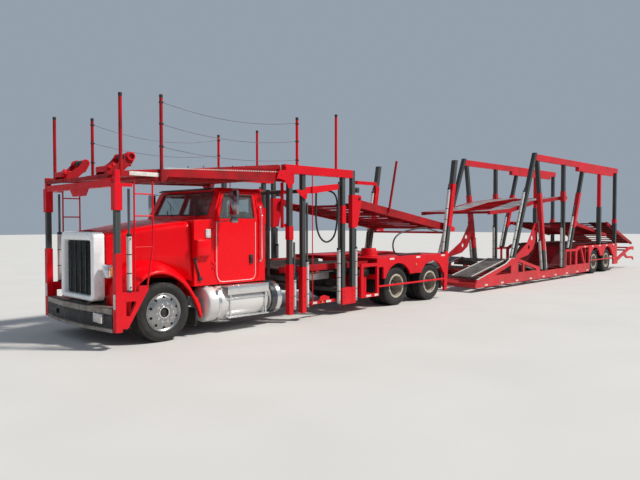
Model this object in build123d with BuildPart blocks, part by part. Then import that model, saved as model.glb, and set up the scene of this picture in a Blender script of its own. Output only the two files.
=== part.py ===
"""Stinger-steered car transporter: a conventional day-cab truck that carries cars over its
cab and chassis, hinged low behind its rear axle to a two-axle semitrailer.

Millimetres. +X runs rearwards, +Y to the vehicle's right-hand side, +Z up, and the origin is
on the ground under the middle of the whole rig. Lengthwise places are given as stations,
measured rearwards from the bumper's front face.
"""
import os
from math import radians, tan

from build123d import *

os.makedirs("parts", exist_ok=True)

# Overall envelope
overall_length = 23300
half_width = 1295

# Clearances
seat_gap = 0.3
slide_gap = 0.3
door_gap = 12

# Steered wheels
steer_tyre_diameter = 930
steer_tyre_width = 290
steer_bead_radius = 286
steer_wheel_y = 1015
front_axle_station = 960
kingpin_y = 870
spindle_radius = 38

# Twin wheels of the drive and trailer axles
twin_tyre_diameter = 880
twin_tyre_width = 262
twin_bead_radius = 248
twin_spacing = 300
flange_height = 20
twin_wheel_y = 939
drive_axle_stations = (6880, 8210)
trailer_axle_stations = (18800, 20060)

# Truck chassis
rail_outer_y = 430
rail_flange = 80
rail_web = 9
rail_bottom = 580
rail_top = 850
rail_front = 330
rail_rear = 8900
ledge_bottom = 588
hitch_station = 9500
hitch_pin_radius = 45
hitch_plate_top = 340

# Posts of the car rack: a red outer tube at the foot, a grey tube above it
post_outer = 140
post_tube = 114
post_wall = 8
post_y = half_width - post_outer / 2
post_inner_y = post_y - post_outer / 2
# The truck's own posts stand on the same centre lines and are slimmer
front_outer = 100
front_sleeve = 118
rack_outer = 108
rack_tube = 86
rack_inner_y = post_y - rack_outer / 2
front_inner_y = post_y - front_outer / 2
front_post_station = 150
post_stations = {"A": 3580, "B": 3920, "C": 5050, "D": 5350}
cylinder_radius = 40
cylinder_rod_radius = 20
pole_radius = 27

# Cab and hood
cab_front = 1590
cab_rear = 3120
cab_floor = 870
cab_skirt = 815
belt_height = 1930
roof_height = 2480
cab_half_width = 1060
roof_half_width = 900
cab_wall = 50
hood_front = 270
hood_rear = 1575
hood_skin = 10
fender_half_width = 1148
grille_front = 90
grille_half_width = 585
grille_bottom = 655
grille_top = 1725
hood_pivot = (135, 630)
hood_pin_radius = 12

# Decks
deck_half_width = 1140
deck_rail_width = 70
runway_inner_y = 430
runway_thickness = 26
head_pivot = (3480, 2690)
rear_pivot = (5530, 2360)
pivot_radius = 30
pivot_inner_y = deck_half_width - deck_rail_width + 2
lower_deck_top = 1100
low_runway_top = 1000

# Trailer
trailer_nose = 10300
low_rail_bottom = 120
low_rail_top = 350
side_plate_y = 1260
side_plate_thickness = 50
top_rail_bottom = 3770
top_rail_top = 3960


def at(station):
    """Row X of a station measured rearwards from the bumper's face."""
    return station - overall_length / 2


def plate(outline, y, thickness, mode=Mode.ADD):
    """Upright lengthwise plate, centred on y; the outline is (station, height) corners."""
    side_view = Plane(origin=(0, y, 0), x_dir=(1, 0, 0), z_dir=(0, -1, 0))
    points = [side_view.from_local_coords(Vector(at(station), height)) for station, height in outline]
    extrude(Face(Wire.make_polygon(points)), amount=thickness / 2, dir=(0, 1, 0), both=True, mode=mode)


def block(stations, ys, heights, mode=Mode.ADD):
    """Box given by its two ends along each axis."""
    with Locations((at(sum(stations) / 2), sum(ys) / 2, sum(heights) / 2)):
        Box(abs(stations[1] - stations[0]), abs(ys[1] - ys[0]), abs(heights[1] - heights[0]),
            mode=mode)


def both_sides(stations, ys, heights, mode=Mode.ADD):
    """The same box on the left and on the right."""
    for side in (-1, 1):
        block(stations, (side * ys[0], side * ys[1]), heights, mode)


def beam(start, end, width, depth, hollow=0, mode=Mode.ADD):
    """Straight bar between two (station, y, height) points, width across, depth upright.
    With hollow, it is a tube whose opening is that much smaller than its section."""
    first = Vector(at(start[0]), start[1], start[2])
    run = Vector(at(end[0]), end[1], end[2]) - first
    across = (1, 0, 0) if abs(run.Y) > abs(run.X) + abs(run.Z) else (0, 1, 0)
    place = Plane(origin=first, x_dir=across, z_dir=run)
    section = Face.make_rect(width, depth, place)
    if hollow:
        section = section.make_holes([Wire.make_rect(width - hollow, depth - hollow, place)])
    extrude(section, amount=run.length, dir=run.normalized(), mode=mode)


def rod(start, end, radius, bore=0, mode=Mode.ADD):
    """Round bar between two (station, y, height) points; with bore, a tube."""
    first = Vector(at(start[0]), start[1], start[2])
    run = Vector(at(end[0]), end[1], end[2]) - first
    place = Plane(origin=first, z_dir=run)
    section = Face(Wire.make_circle(radius, place))
    if bore:
        section = section.make_holes([Wire.make_circle(bore, place)])
    extrude(section, amount=run.length, dir=run.normalized(), mode=mode)


def leaning_tube(foot, head, y, low, high, size, opening=0):
    """Square tube whose axis runs from foot to head, cut level at two heights."""
    lean = (head[0] - foot[0]) / (head[1] - foot[1])
    stretch = (1 + lean ** 2) ** 0.5

    def outline(half, bottom, top):
        middle = [foot[0] + (height - foot[1]) * lean for height in (bottom, top)]
        return [(middle[0] - half, bottom), (middle[0] + half, bottom),
                (middle[1] + half, top), (middle[1] - half, top)]

    if opening:
        with BuildPart() as tube:
            plate(outline(size / 2 * stretch, low, high), y, size)
            plate(outline(opening / 2 * stretch, low - 1, high + 1), y, opening, mode=Mode.SUBTRACT)
        return tube.part
    with BuildPart() as bar:
        plate(outline(size / 2 * stretch, low, high), y, size)
    return bar.part


def along(start, end, distance):
    """Point on the line from start towards end, that far from start, in (station, height)."""
    length = ((end[0] - start[0]) ** 2 + (end[1] - start[1]) ** 2) ** 0.5
    share = distance / length
    return start[0] + (end[0] - start[0]) * share, start[1] + (end[1] - start[1]) * share


def save(builder, name):
    """Labels a finished piece and writes it."""
    builder.part.label = name
    export_step(builder.part, f"parts/{name}.step")


# Wheels
# Each wheel is drawn once about its own axle, outboard along +Y, and then placed.
def tyre_profile(offset, width, bead_radius, outer_radius):
    """Tyre section as (y, radius): narrow at the beads, widest at mid height, crowned."""
    right = [(width * 0.42, bead_radius), (width * 0.42, bead_radius + flange_height + 2),
             (width / 2, (outer_radius + bead_radius) / 2),
             (width * 0.47, outer_radius - width * 0.06), (width * 0.41, outer_radius)]
    left = [(-y, radius) for y, radius in reversed(right)]
    return [(offset + y, radius) for y, radius in right + left]


def rim_profile(offset, width, bead_radius):
    """Rim barrel between the tyre's beads, with a flange at each edge."""
    edge = width * 0.42 + seat_gap
    lip = edge + 16
    seat = bead_radius - seat_gap
    right = [(edge, seat), (edge, bead_radius + flange_height), (lip, bead_radius + flange_height),
             (lip, bead_radius - 18)]
    left = [(-y, radius) for y, radius in reversed(right)]
    return [(offset + y, radius) for y, radius in right + left]


def turned(profile, mode=Mode.ADD):
    """Ring round the Y axis; the profile is (y, radius) corners."""
    points = [Vector(radius, y, 0) for y, radius in profile]
    revolve(Face(Wire.make_polygon(points)), axis=Axis.Y, mode=mode)


def hand_holes(circle_radius, hole_radius, reach):
    """Ring of ten holes through a wheel disc."""
    with PolarLocations(circle_radius, 10, start_angle=18):
        Cylinder(hole_radius, reach, mode=Mode.SUBTRACT)


def placed(builder, station, side, y, height):
    """A wheel piece moved to its axle, turned to face outboard on either side."""
    turn = 0 if side > 0 else 180
    return builder.part.moved(Location((at(station), side * y, height), (0, 0, turn)))


side_names = {-1: "left", 1: "right"}
steer_height = steer_tyre_diameter / 2
twin_height = twin_tyre_diameter / 2

with BuildPart() as steer_tyre:
    turned(tyre_profile(0, steer_tyre_width, steer_bead_radius, steer_height))
with BuildPart() as steer_rim:
    turned(rim_profile(0, steer_tyre_width, steer_bead_radius))
    turned([(70, 60), (70, 185), (20, 262), (20, steer_bead_radius - 16),
            (-6, steer_bead_radius - 16), (-6, 250), (46, 172), (46, 60)])
    with Locations(Location((0, 0, 0), (90, 0, 0))):
        hand_holes(216, 19, 200)
    turned([(-60, spindle_radius + slide_gap), (-60, 95), (60, 95), (60, 105), (140, 105),
            (155, 90), (155, 0), (105, 0), (105, spindle_radius + slide_gap)])

with BuildPart() as twin_tyres:
    for offset in (-twin_spacing / 2, twin_spacing / 2):
        turned(tyre_profile(offset, twin_tyre_width, twin_bead_radius, twin_height))
twin_disc = [(12, 100), (12, 165), (60, 215), (60, twin_bead_radius - 16),
             (40, twin_bead_radius - 16), (40, 222), (0, 182), (0, 100)]
with BuildPart() as twin_rims:
    for offset in (-twin_spacing / 2, twin_spacing / 2):
        turned(rim_profile(offset, twin_tyre_width, twin_bead_radius))
    turned(twin_disc)
    turned([(-y, radius) for y, radius in twin_disc])
    with Locations(Location((0, 0, 0), (90, 0, 0))):
        hand_holes(197, 18, 200)
    turned([(-170, spindle_radius + slide_gap), (-170, 130), (40, 130), (40, 118), (150, 118),
            (150, 80), (190, 80), (190, 0), (90, 0), (90, spindle_radius + slide_gap)])

for side, name in side_names.items():
    with BuildPart() as tyre:
        add(placed(steer_tyre, front_axle_station, side, steer_wheel_y, steer_height))
    save(tyre, f"front_tyre_{name}")
    with BuildPart() as rim:
        add(placed(steer_rim, front_axle_station, side, steer_wheel_y, steer_height))
    save(rim, f"front_rim_{name}")
twin_axles = [("drive", number, station) for number, station in enumerate(drive_axle_stations, 1)]
twin_axles += [("trailer", number, station)
               for number, station in enumerate(trailer_axle_stations, 1)]
for group, number, station in twin_axles:
    for side, name in side_names.items():
        with BuildPart() as tyres:
            add(placed(twin_tyres, station, side, twin_wheel_y, twin_height))
        save(tyres, f"{group}_tyres_{number}_{name}")
        with BuildPart() as rims:
            add(placed(twin_rims, station, side, twin_wheel_y, twin_height))
        save(rims, f"{group}_rims_{number}_{name}")

# Steering knuckles
# A fork round the axle's kingpin boss, with the spindle outboard and a steering arm behind.
boss_radius = 42
boss_half_height = 60
fork_thickness = 32
web_start = kingpin_y + boss_radius + 4
web_end = web_start + 22
for side, name in side_names.items():
    with BuildPart() as knuckle:
        for level in (-1, 1):
            inner = steer_height + level * (boss_half_height + slide_gap)
            outer = inner + level * fork_thickness
            rod((front_axle_station, side * kingpin_y, min(inner, outer)),
                (front_axle_station, side * kingpin_y, max(inner, outer)), boss_radius)
            block((front_axle_station - boss_radius, front_axle_station + boss_radius),
                  (side * kingpin_y, side * web_end), (inner, outer))
        block((front_axle_station - boss_radius, front_axle_station + boss_radius),
              (side * web_start, side * web_end),
              (steer_height - boss_half_height - fork_thickness,
               steer_height + boss_half_height + fork_thickness))
        rod((front_axle_station, side * web_end, steer_height),
            (front_axle_station, side * (steer_wheel_y + 95), steer_height), spindle_radius)
        beam((front_axle_station, side * kingpin_y, steer_height - boss_half_height - 18),
             (front_axle_station + 190, side * (kingpin_y - 40),
              steer_height - boss_half_height - 18), 40, 28)
    save(knuckle, f"knuckle_{name}")

# Truck axles
# The front beam drops between the kingpins; the drive housings carry a round final drive.
spring_y = rail_outer_y - rail_flange / 2
beam_top = steer_height + 42
beam_bottom = steer_height - 42
beam_drop = 90
with BuildPart() as truck_axles:
    front_beam = [(-kingpin_y, beam_top), (-kingpin_y, beam_bottom), (-600, beam_bottom - 8),
                  (-500, beam_bottom - beam_drop), (500, beam_bottom - beam_drop),
                  (600, beam_bottom - 8), (kingpin_y, beam_bottom), (kingpin_y, beam_top),
                  (620, beam_top - 7), (480, beam_top - beam_drop), (-480, beam_top - beam_drop),
                  (-620, beam_top - 7)]
    beam_face = Wire.make_polygon([Vector(at(front_axle_station), y, z) for y, z in front_beam])
    extrude(Face(beam_face), amount=35, dir=(1, 0, 0), both=True)
    for side in side_names:
        rod((front_axle_station, side * kingpin_y, steer_height - boss_half_height),
            (front_axle_station, side * kingpin_y, steer_height + boss_half_height), boss_radius)
        plate([(430, rail_bottom - seat_gap), (430, 500), (900, 412), (1020, 412), (1500, 500),
               (1500, rail_bottom - seat_gap), (1440, rail_bottom - seat_gap), (1440, 530),
               (1020, 455), (900, 455), (490, 530), (490, rail_bottom - seat_gap)],
              side * spring_y, 76)
    for station in drive_axle_stations:
        rod((station, -640, twin_height), (station, 640, twin_height), 70)
        rod((station, -110, twin_height), (station, 110, twin_height), 185)
        rod((station - 270, 0, twin_height), (station, 0, twin_height), 80)
        rod((station, -(twin_wheel_y + 80), twin_height), (station, twin_wheel_y + 80, twin_height),
            spindle_radius)
        for side in side_names:
            plate([(station - 500, rail_bottom - seat_gap), (station - 500, 525),
                   (station - 80, 490), (station + 80, 490), (station + 500, 525),
                   (station + 500, rail_bottom - seat_gap), (station + 430, rail_bottom - seat_gap),
                   (station + 430, 555), (station, 535), (station - 430, 555),
                   (station - 430, rail_bottom - seat_gap)], side * spring_y, 76)
    rod((drive_axle_stations[0], 0, twin_height), (drive_axle_stations[1], 0, twin_height), 45)
save(truck_axles, "truck_axles")

# Chassis frame
# Two channel rails, their crossmembers, the outriggers under the posts and the hitch stinger.
with BuildPart() as chassis_frame:
    for side in side_names:
        both_ends = (rail_front, rail_rear)
        web = (side * (rail_outer_y - rail_web), side * rail_outer_y)
        block(both_ends, web, (rail_bottom, rail_top))
        for low, high in ((rail_bottom, rail_bottom + rail_web), (rail_top - rail_web, rail_top)):
            block(both_ends, (side * (rail_outer_y - rail_flange), side * rail_outer_y), (low, high))
        block((110, 420), (side * (rail_outer_y - rail_flange), side * rail_outer_y),
              (480, ledge_bottom - seat_gap))
    for station in (370, 2750, 3450, 4480, 5550, 6350, 7545, 8850):
        block((station - 45, station + 45), (-rail_outer_y + rail_web, rail_outer_y - rail_web),
              (700, 830))
    block((110, 200), (-front_inner_y + seat_gap, front_inner_y - seat_gap), (480, 580))
    for first, last in ((3540, 3620), (3880, 3960)):
        both_sides((first, last), (rail_outer_y - rail_web, rack_inner_y - seat_gap), (600, 720))
    both_sides((5010, 5390), (rail_outer_y - rail_flange, rack_inner_y - seat_gap), (450, 530))
    both_sides((5010, 5390), (rail_outer_y - rail_flange, rail_outer_y), (529, rail_bottom + 1))
    plate([(8500, rail_top - 20), (8895, rail_top - 20), (8895, 640), (9330, hitch_plate_top),
           (hitch_station, hitch_plate_top), (hitch_station, 296), (9250, 296), (8780, 590),
           (8500, 590)], 0, 300)
    block((8500, 8895), (-rail_outer_y + rail_web, rail_outer_y - rail_web), (640, 700))
    rod((hitch_station, 0, 296), (hitch_station, 0, hitch_plate_top), 160)
    rod((hitch_station, 0, hitch_plate_top), (hitch_station, 0, 480), hitch_pin_radius)
save(chassis_frame, "chassis_frame")

# Engine, gearbox, radiator and propeller shaft, each as one plain mass
with BuildPart() as engine:
    block((480, 1560), (-290, 290), (560, 1450))
    block((1559, 2500), (-210, 210), (540, rail_top - 5))
    both_sides((860, 960), (289, 420), (rail_top + seat_gap, 900))
    rod((2499, 0, 640), (6600, 0, twin_height + 8), 45)
    block((rail_front + 10, 400), (-rail_outer_y, rail_outer_y), (rail_top + seat_gap, 1560))
    block((399, 481), (-120, 120), (1000, 1200))
save(engine, "engine_block")

# Front bumper: bowed steel plates round a recessed channel, with a tread ledge on top,
# standing on the chassis cross tube
bumper_bow = [(95, -1150), (40, -720), (0, -320), (0, 320), (40, 720), (95, 1150)]
bumper_back = 109.7
bumper_steel = 12
bumper_recess = 45
recessed_back = bumper_recess + bumper_steel
bumper_plates = [
    # setback, reach rearwards, low, high
    (0, bumper_steel, 520, 600),
    (0, bumper_steel, 250, 300),
    (bumper_recess, recessed_back, 288, 532),
    (0, recessed_back, 520, 532),
    (0, recessed_back, 288, 300),
    (0, bumper_back, 588, 600),
    (0, bumper_back, 250, 262),
]
with BuildPart() as front_bumper:
    for setback, reach, low, high in bumper_plates:
        front = [Vector(at(min(station + setback, bumper_back - bumper_steel)), y, low)
                 for station, y in bumper_bow]
        back = [Vector(at(min(station + reach, bumper_back)), y, low)
                for station, y in reversed(bumper_bow)]
        if reach == bumper_back:
            back = [Vector(at(bumper_back), 1150, low), Vector(at(bumper_back), -1150, low)]
        extrude(Face(Wire.make_polygon(front + back)), amount=high - low, dir=(0, 0, 1))
    block((95, grille_front + 160), (-post_inner_y + 1, post_inner_y - 1), (588, 600))
    both_sides((bumper_recess + 2, 110 - seat_gap), (310, 380), (480, 580))
    for side in side_names:
        block((hood_pivot[0] - 18, hood_pivot[0] + 18), (side * 340, side * 360),
              (ledge_bottom + 2, hood_pivot[1] + 16))
        rod((hood_pivot[0], side * 350, hood_pivot[1]), (hood_pivot[0], side * 396, hood_pivot[1]),
            hood_pin_radius)
save(front_bumper, "front_bumper")

# Hood
# A tapering shell with bulged fenders; it is lofted between its nose and the cowl.
hood_sections = [
    # station, lower width, lower height, side width, shoulder height, top width, top height
    (hood_front, 575, 700, 570, 1640, 470, 1765),
    (hood_rear, 1040, 900, 985, 1765, 760, 1935),
]


def hood_wire(row, skin):
    """One section of the hood, or of its inside when skin is given."""
    station, low_half, low, side_half, shoulder, top_half, top = row
    left = [(low_half - skin, low - skin), (side_half - skin, shoulder - skin),
            (top_half - skin / 2, top - skin)]
    points = [Vector(at(station), y, z) for y, z in left]
    points += [Vector(at(station), -y, z) for y, z in reversed(left)]
    return Wire.make_polygon(points)


arch_centre = (front_axle_station + 20, 420)
arch_radius = 610
foot_inner_y = cab_half_width + 8
with BuildPart() as hood:
    add(Solid.make_loft([hood_wire(row, 0) for row in hood_sections], ruled=True))
    with BuildPart(mode=Mode.PRIVATE) as fenders:
        for side in side_names:
            top_edge = [(side * 500, 660), (side * fender_half_width, 660),
                        (side * fender_half_width, 1000), (side * 1090, 1110),
                        (side * 820, 1330), (side * 500, 1400)]
            end_face = [Vector(at(330), y, z) for y, z in top_edge]
            extrude(Face(Wire.make_polygon(end_face)), amount=hood_rear - 330, dir=(1, 0, 0))
        plate([(300, 600), (300, 760), (420, 980), (700, 1140), (960, 1420), (hood_rear, 1420),
               (hood_rear + 40, 600)], 0, 2400, mode=Mode.INTERSECT)
    add(fenders.part)
    inner_rows = [(row[0] - 1 + 2 * index, *row[1:]) for index, row in enumerate(hood_sections)]
    inside = Solid.make_loft([hood_wire(row, hood_skin) for row in inner_rows], ruled=True)
    add(inside, mode=Mode.SUBTRACT)
    with Locations((at(arch_centre[0]), 0, arch_centre[1])):
        Cylinder(arch_radius, 3000, rotation=(90, 0, 0), mode=Mode.SUBTRACT)
    block((200, 1800), (-1400, 1400), (300, 700), mode=Mode.SUBTRACT)
    block((arch_centre[0], 1800), (-1400, 1400), (300, 800), mode=Mode.SUBTRACT)
    for side in side_names:
        block((1050, hood_rear + 50), (side * 480, side * 1120), (700, 980), mode=Mode.SUBTRACT)
        # The foot reaches past the cab's front corner; inboard it stops where the cab begins
        plate([(hood_rear - 40, 815), (hood_rear, 815), (1688, 320), (1650, 320),
               (hood_rear - 35, 640)], side * (foot_inner_y + fender_half_width) / 2,
              fender_half_width - foot_inner_y)
        plate([(hood_rear - 40, 815), (hood_rear, 815), (hood_rear + 12, 570), (hood_rear - 12, 570),
               (hood_rear - 35, 640)], side * (foot_inner_y - 67), 136)
save(hood, "hood")

# Grille: a bright surround, mesh with upright bars, and the headlamp housings beside it
with BuildPart() as grille:
    block((grille_front, hood_front - seat_gap), (-grille_half_width, grille_half_width),
          (grille_bottom, grille_top))
    block((grille_front - 10, hood_front), (-470, 470), (735, 1585), mode=Mode.SUBTRACT)
    block((170, 182), (-471, 471), (734, 1586))
    for index in range(-2, 3):
        block((grille_front + 6, 172), (index * 188 - 7, index * 188 + 7), (734, 1586))
    for side in side_names:
        plate([(hood_pivot[0] - 20, hood_pivot[1] - 18), (hood_pivot[0] + 20, hood_pivot[1] - 18),
               (hood_pivot[0] + 40, grille_bottom + 20), (hood_pivot[0] - 30, grille_bottom + 20)],
              side * 380, 24)
        rod((hood_pivot[0], side * 360, hood_pivot[1]), (hood_pivot[0], side * 400, hood_pivot[1]),
            hood_pin_radius + slide_gap, mode=Mode.SUBTRACT)
save(grille, "grille")

# Cab
# The shell is the overlap of a side profile and a front profile, less the same inset by a wall.
windshield_foot = (1965, belt_height)
windshield_head = (2215, roof_height)

# Door hinges: (station, y) of the axis, and the heights of their barrels
door_hinge = (1984, 1068)
door_hinge_heights = (1150, 1780)
hinge_barrel = 40


def cab_solid(inset, bottom):
    """The cab's outer form, or its inside when inset by the wall."""
    side_profile = [(cab_front + inset, bottom), (cab_front + inset, 1905 - inset),
                    (windshield_foot[0] + inset, windshield_foot[1] - inset),
                    (windshield_head[0] + inset, windshield_head[1] - inset),
                    (cab_rear - inset, roof_height - inset), (cab_rear - inset, bottom)]
    front_profile = [(cab_half_width - inset, bottom), (cab_half_width - inset, belt_height),
                     (roof_half_width + 60 - inset, roof_height - 70 - inset),
                     (roof_half_width - 30 - inset, roof_height - inset)]
    outline = front_profile + [(-y, z) for y, z in reversed(front_profile)]
    with BuildPart() as form:
        plate(side_profile, 0, 3000)
        ends = [Vector(at(cab_front - 50), y, z) for y, z in outline]
        extrude(Face(Wire.make_polygon(ends)), amount=1800, dir=(1, 0, 0), mode=Mode.INTERSECT)
    return form.part


door_rear = 2960
window_rear = 2880
door_outline = [(1990, 1000), (2090, 800), (door_rear - 100, 800), (door_rear, 900),
                (door_rear, 2400), (2215, 2400),
                (1990, belt_height - 20)]
window_outline = [(2130, 1960), (window_rear, 1960), (window_rear, 2350), (2270, 2350)]
pane_slope = Vector(windshield_head[0] - windshield_foot[0], 0,
                    windshield_head[1] - windshield_foot[1]).normalized()
pane_normal = Vector(-pane_slope.Z, 0, pane_slope.X)
pane_middle = Vector(at((windshield_foot[0] + windshield_head[0]) / 2), 0,
                     (windshield_foot[1] + windshield_head[1]) / 2)


def panes(thickness, depth, shrink, mode=Mode.ADD):
    """The two windshield panes, that thick and that deep behind the outer face."""
    for side in side_names:
        corners = [(side * 25, -215), (side * 850, -215), (side * 800, 200), (side * 25, 200)]
        centre_y = side * 425
        middle = pane_middle - pane_normal * depth
        points = [middle + Vector(0, y + shrink * (1 if y < centre_y else -1), 0)
                  + pane_slope * (v + shrink * (1 if v < 0 else -1)) for y, v in corners]
        extrude(Face(Wire.make_polygon(points)), amount=thickness, dir=-pane_normal, mode=mode)


with BuildPart() as cab_shell:
    add(cab_solid(0, cab_skirt))
    add(cab_solid(cab_wall, cab_floor + 30), mode=Mode.SUBTRACT)
    block((cab_front + cab_wall, cab_rear - cab_wall),
          (-cab_half_width + cab_wall, cab_half_width - cab_wall), (cab_skirt - 10, cab_floor),
          mode=Mode.SUBTRACT)
    block((cab_front - 10, cab_rear + 10), (-700, 700), (cab_skirt - 10, cab_floor),
          mode=Mode.SUBTRACT)
    for side in side_names:
        plate(door_outline, side * cab_half_width, 320, mode=Mode.SUBTRACT)
        block((1610, 1880), (side * (cab_half_width - 5), side * 1130), (1315, 1585))
        for station in (1900, 2960):
            block((station, station + 90), (side * 355, side * 425), (rail_top + seat_gap, cab_floor + 1))
        for height in door_hinge_heights:
            for low in (height - hinge_barrel - seat_gap, height + hinge_barrel + seat_gap):
                rod((door_hinge[0], side * door_hinge[1], low - hinge_barrel / 2),
                    (door_hinge[0], side * door_hinge[1], low + hinge_barrel / 2), 7)
                block((1945, door_hinge[0]), (side * (cab_half_width - 1), side * (door_hinge[1] + 5)),
                      (low - hinge_barrel / 2, low + hinge_barrel / 2))
    panes(cab_wall * 3, -60, 0, mode=Mode.SUBTRACT)
    block((cab_rear - 90, cab_rear + 20), (-650, 650), (1960, 2300), mode=Mode.SUBTRACT)
save(cab_shell, "cab_shell")

with BuildPart() as cab_glass:
    panes(6, 22, seat_gap)
    block((cab_rear - 28, cab_rear - 22), (-650 + seat_gap, 650 - seat_gap),
          (1960 + seat_gap, 2300 - seat_gap))
save(cab_glass, "cab_glass")

# Seats, dashboard and steering wheel stand on the cab floor
floor_top = cab_floor + 30
with BuildPart() as cab_interior:
    for side in side_names:
        block((2420, 2760), (side * 330, side * 720), (floor_top + seat_gap, 1280))
        block((2360, 2840), (side * 270, side * 780), (1279, 1420))
        beam((2820, side * 525, 1400), (2960, side * 525, 2060), 480, 110)
    block((cab_front + cab_wall + seat_gap, 2120), (-940, 940), (1380, 1760))
    block((cab_front + cab_wall + seat_gap, 1840), (-600, 600), (floor_top + seat_gap, 1381))
    rod((2100, -525, 1560), (2290, -525, 1690), 28)
    wheel_plane = Plane(origin=(at(2290), -525, 1690), z_dir=(190, 0, 130))
    with BuildSketch(wheel_plane) as wheel_ring:
        Circle(225)
        Circle(198, mode=Mode.SUBTRACT)
        Rectangle(400, 34)
    extrude(wheel_ring.sketch, amount=26)
save(cab_interior, "cab_interior")

# Mirror arms: (height, station of the foot, y where the foot stands on the door)
mirror_arms = ((1940, 2060, cab_half_width + seat_gap), (2430, 2310, 977.5))

# Doors: the piece of wall inside the door outline, less its gap, with its window cut
door_edge = door_outline[0][0] + door_gap
for side, name in side_names.items():
    with BuildPart() as door:
        add(cab_solid(0, cab_skirt))
        add(cab_solid(cab_wall, cab_skirt - 10), mode=Mode.SUBTRACT)
        leaf = [(door_edge, 1002), (2096, 800), (door_rear - 106, 800),
                (door_rear - door_gap, 906), (door_rear - door_gap, 2400 - door_gap),
                (2222, 2400 - door_gap), (door_edge, belt_height - 22)]
        plate(leaf, side * cab_half_width, 320, mode=Mode.INTERSECT)
        plate(window_outline, side * cab_half_width, 500, mode=Mode.SUBTRACT)
        for height in door_hinge_heights:
            rod((door_hinge[0], side * door_hinge[1], height - hinge_barrel / 2),
                (door_hinge[0], side * door_hinge[1], height + hinge_barrel / 2), 7)
            for start, inner in ((door_hinge[0], cab_half_width + seat_gap),
                                 (door_edge + 2, cab_half_width - 1)):
                block((start, 2030), (side * inner, side * (door_hinge[1] + 5)),
                      (height - hinge_barrel / 2, height + hinge_barrel / 2))
    save(door, f"door_{name}")
    with BuildPart() as window:
        add(cab_solid(22, cab_skirt))
        add(cab_solid(28, cab_skirt - 10), mode=Mode.SUBTRACT)
        pane = [(2130 + 0.5, 1960 + seat_gap), (window_rear - seat_gap, 1960 + seat_gap),
                (window_rear - seat_gap, 2350 - seat_gap), (2270 + 0.5, 2350 - seat_gap)]
        plate(pane, side * cab_half_width, 500, mode=Mode.INTERSECT)
    save(window, f"window_{name}")
    with BuildPart() as mirror:
        block((2190, 2250), (side * 1215, side * 1430), (2000, 2410))
        rod((2220, side * 1320, 1860), (2220, side * 1320, 1960), 70)
        rod((2225, side * 1400, 1900), (2225, side * 1400, 2450), 10)
        rod((2225, side * 1400, 1920), (2220, side * 1320, 1920), 8)
        for height, foot, foot_y in mirror_arms:
            rod((2225, side * 1400, height), (foot, side * (foot_y + 10), height - 60), 8)
            rod((foot, side * foot_y, height - 60), (foot, side * (foot_y + 20), height - 60), 16)
    save(mirror, f"mirror_{name}")

# Fuel tanks with their steps and the round tanks behind them
tank_radius = 305
tank_y = 1250 - tank_radius
tank_height = 495
round_tank_radius = 318
with BuildPart() as side_tanks:
    for side in side_names:
        rod((1735, side * tank_y, tank_height), (3080, side * tank_y, tank_height), tank_radius)
        rod((3110, side * tank_y, tank_height), (3400, side * tank_y, tank_height),
            round_tank_radius)
        block((3079, 3111), (side * (tank_y - 60), side * (tank_y + 60)),
              (tank_height - 60, tank_height + 60))
        for station in (1990, 2950):
            block((station - 35, station + 35), (side * (rail_outer_y + seat_gap), side * 720),
                  (600, 680))
        block((2120, 3030), (side * (cab_half_width + door_gap), side * 1272), (771, 797))
        block((2120, 3030), (side * 1180, side * 1272), (560, 586))
save(side_tanks, "side_tanks")

# Mudflaps hang from a bar on the chassis rail
with BuildPart() as mudflaps:
    for side in side_names:
        for station, height, reach in ((1560, 620, 880), (8800, 640, 1150)):
            rod((station, side * (rail_outer_y + seat_gap), height), (station, side * reach, height), 16)
        flap = [(860, 620), (900, 620), (900, 470), (1150, 470), (1150, 180), (860, 180)]
        flap_face = [Vector(at(1554), side * y, z) for y, z in flap]
        extrude(Face(Wire.make_polygon(flap_face)), amount=12, dir=(1, 0, 0))
        block((8794, 8806), (side * 700, side * 1150), (230, 640))
save(mudflaps, "mudflaps")

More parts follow.
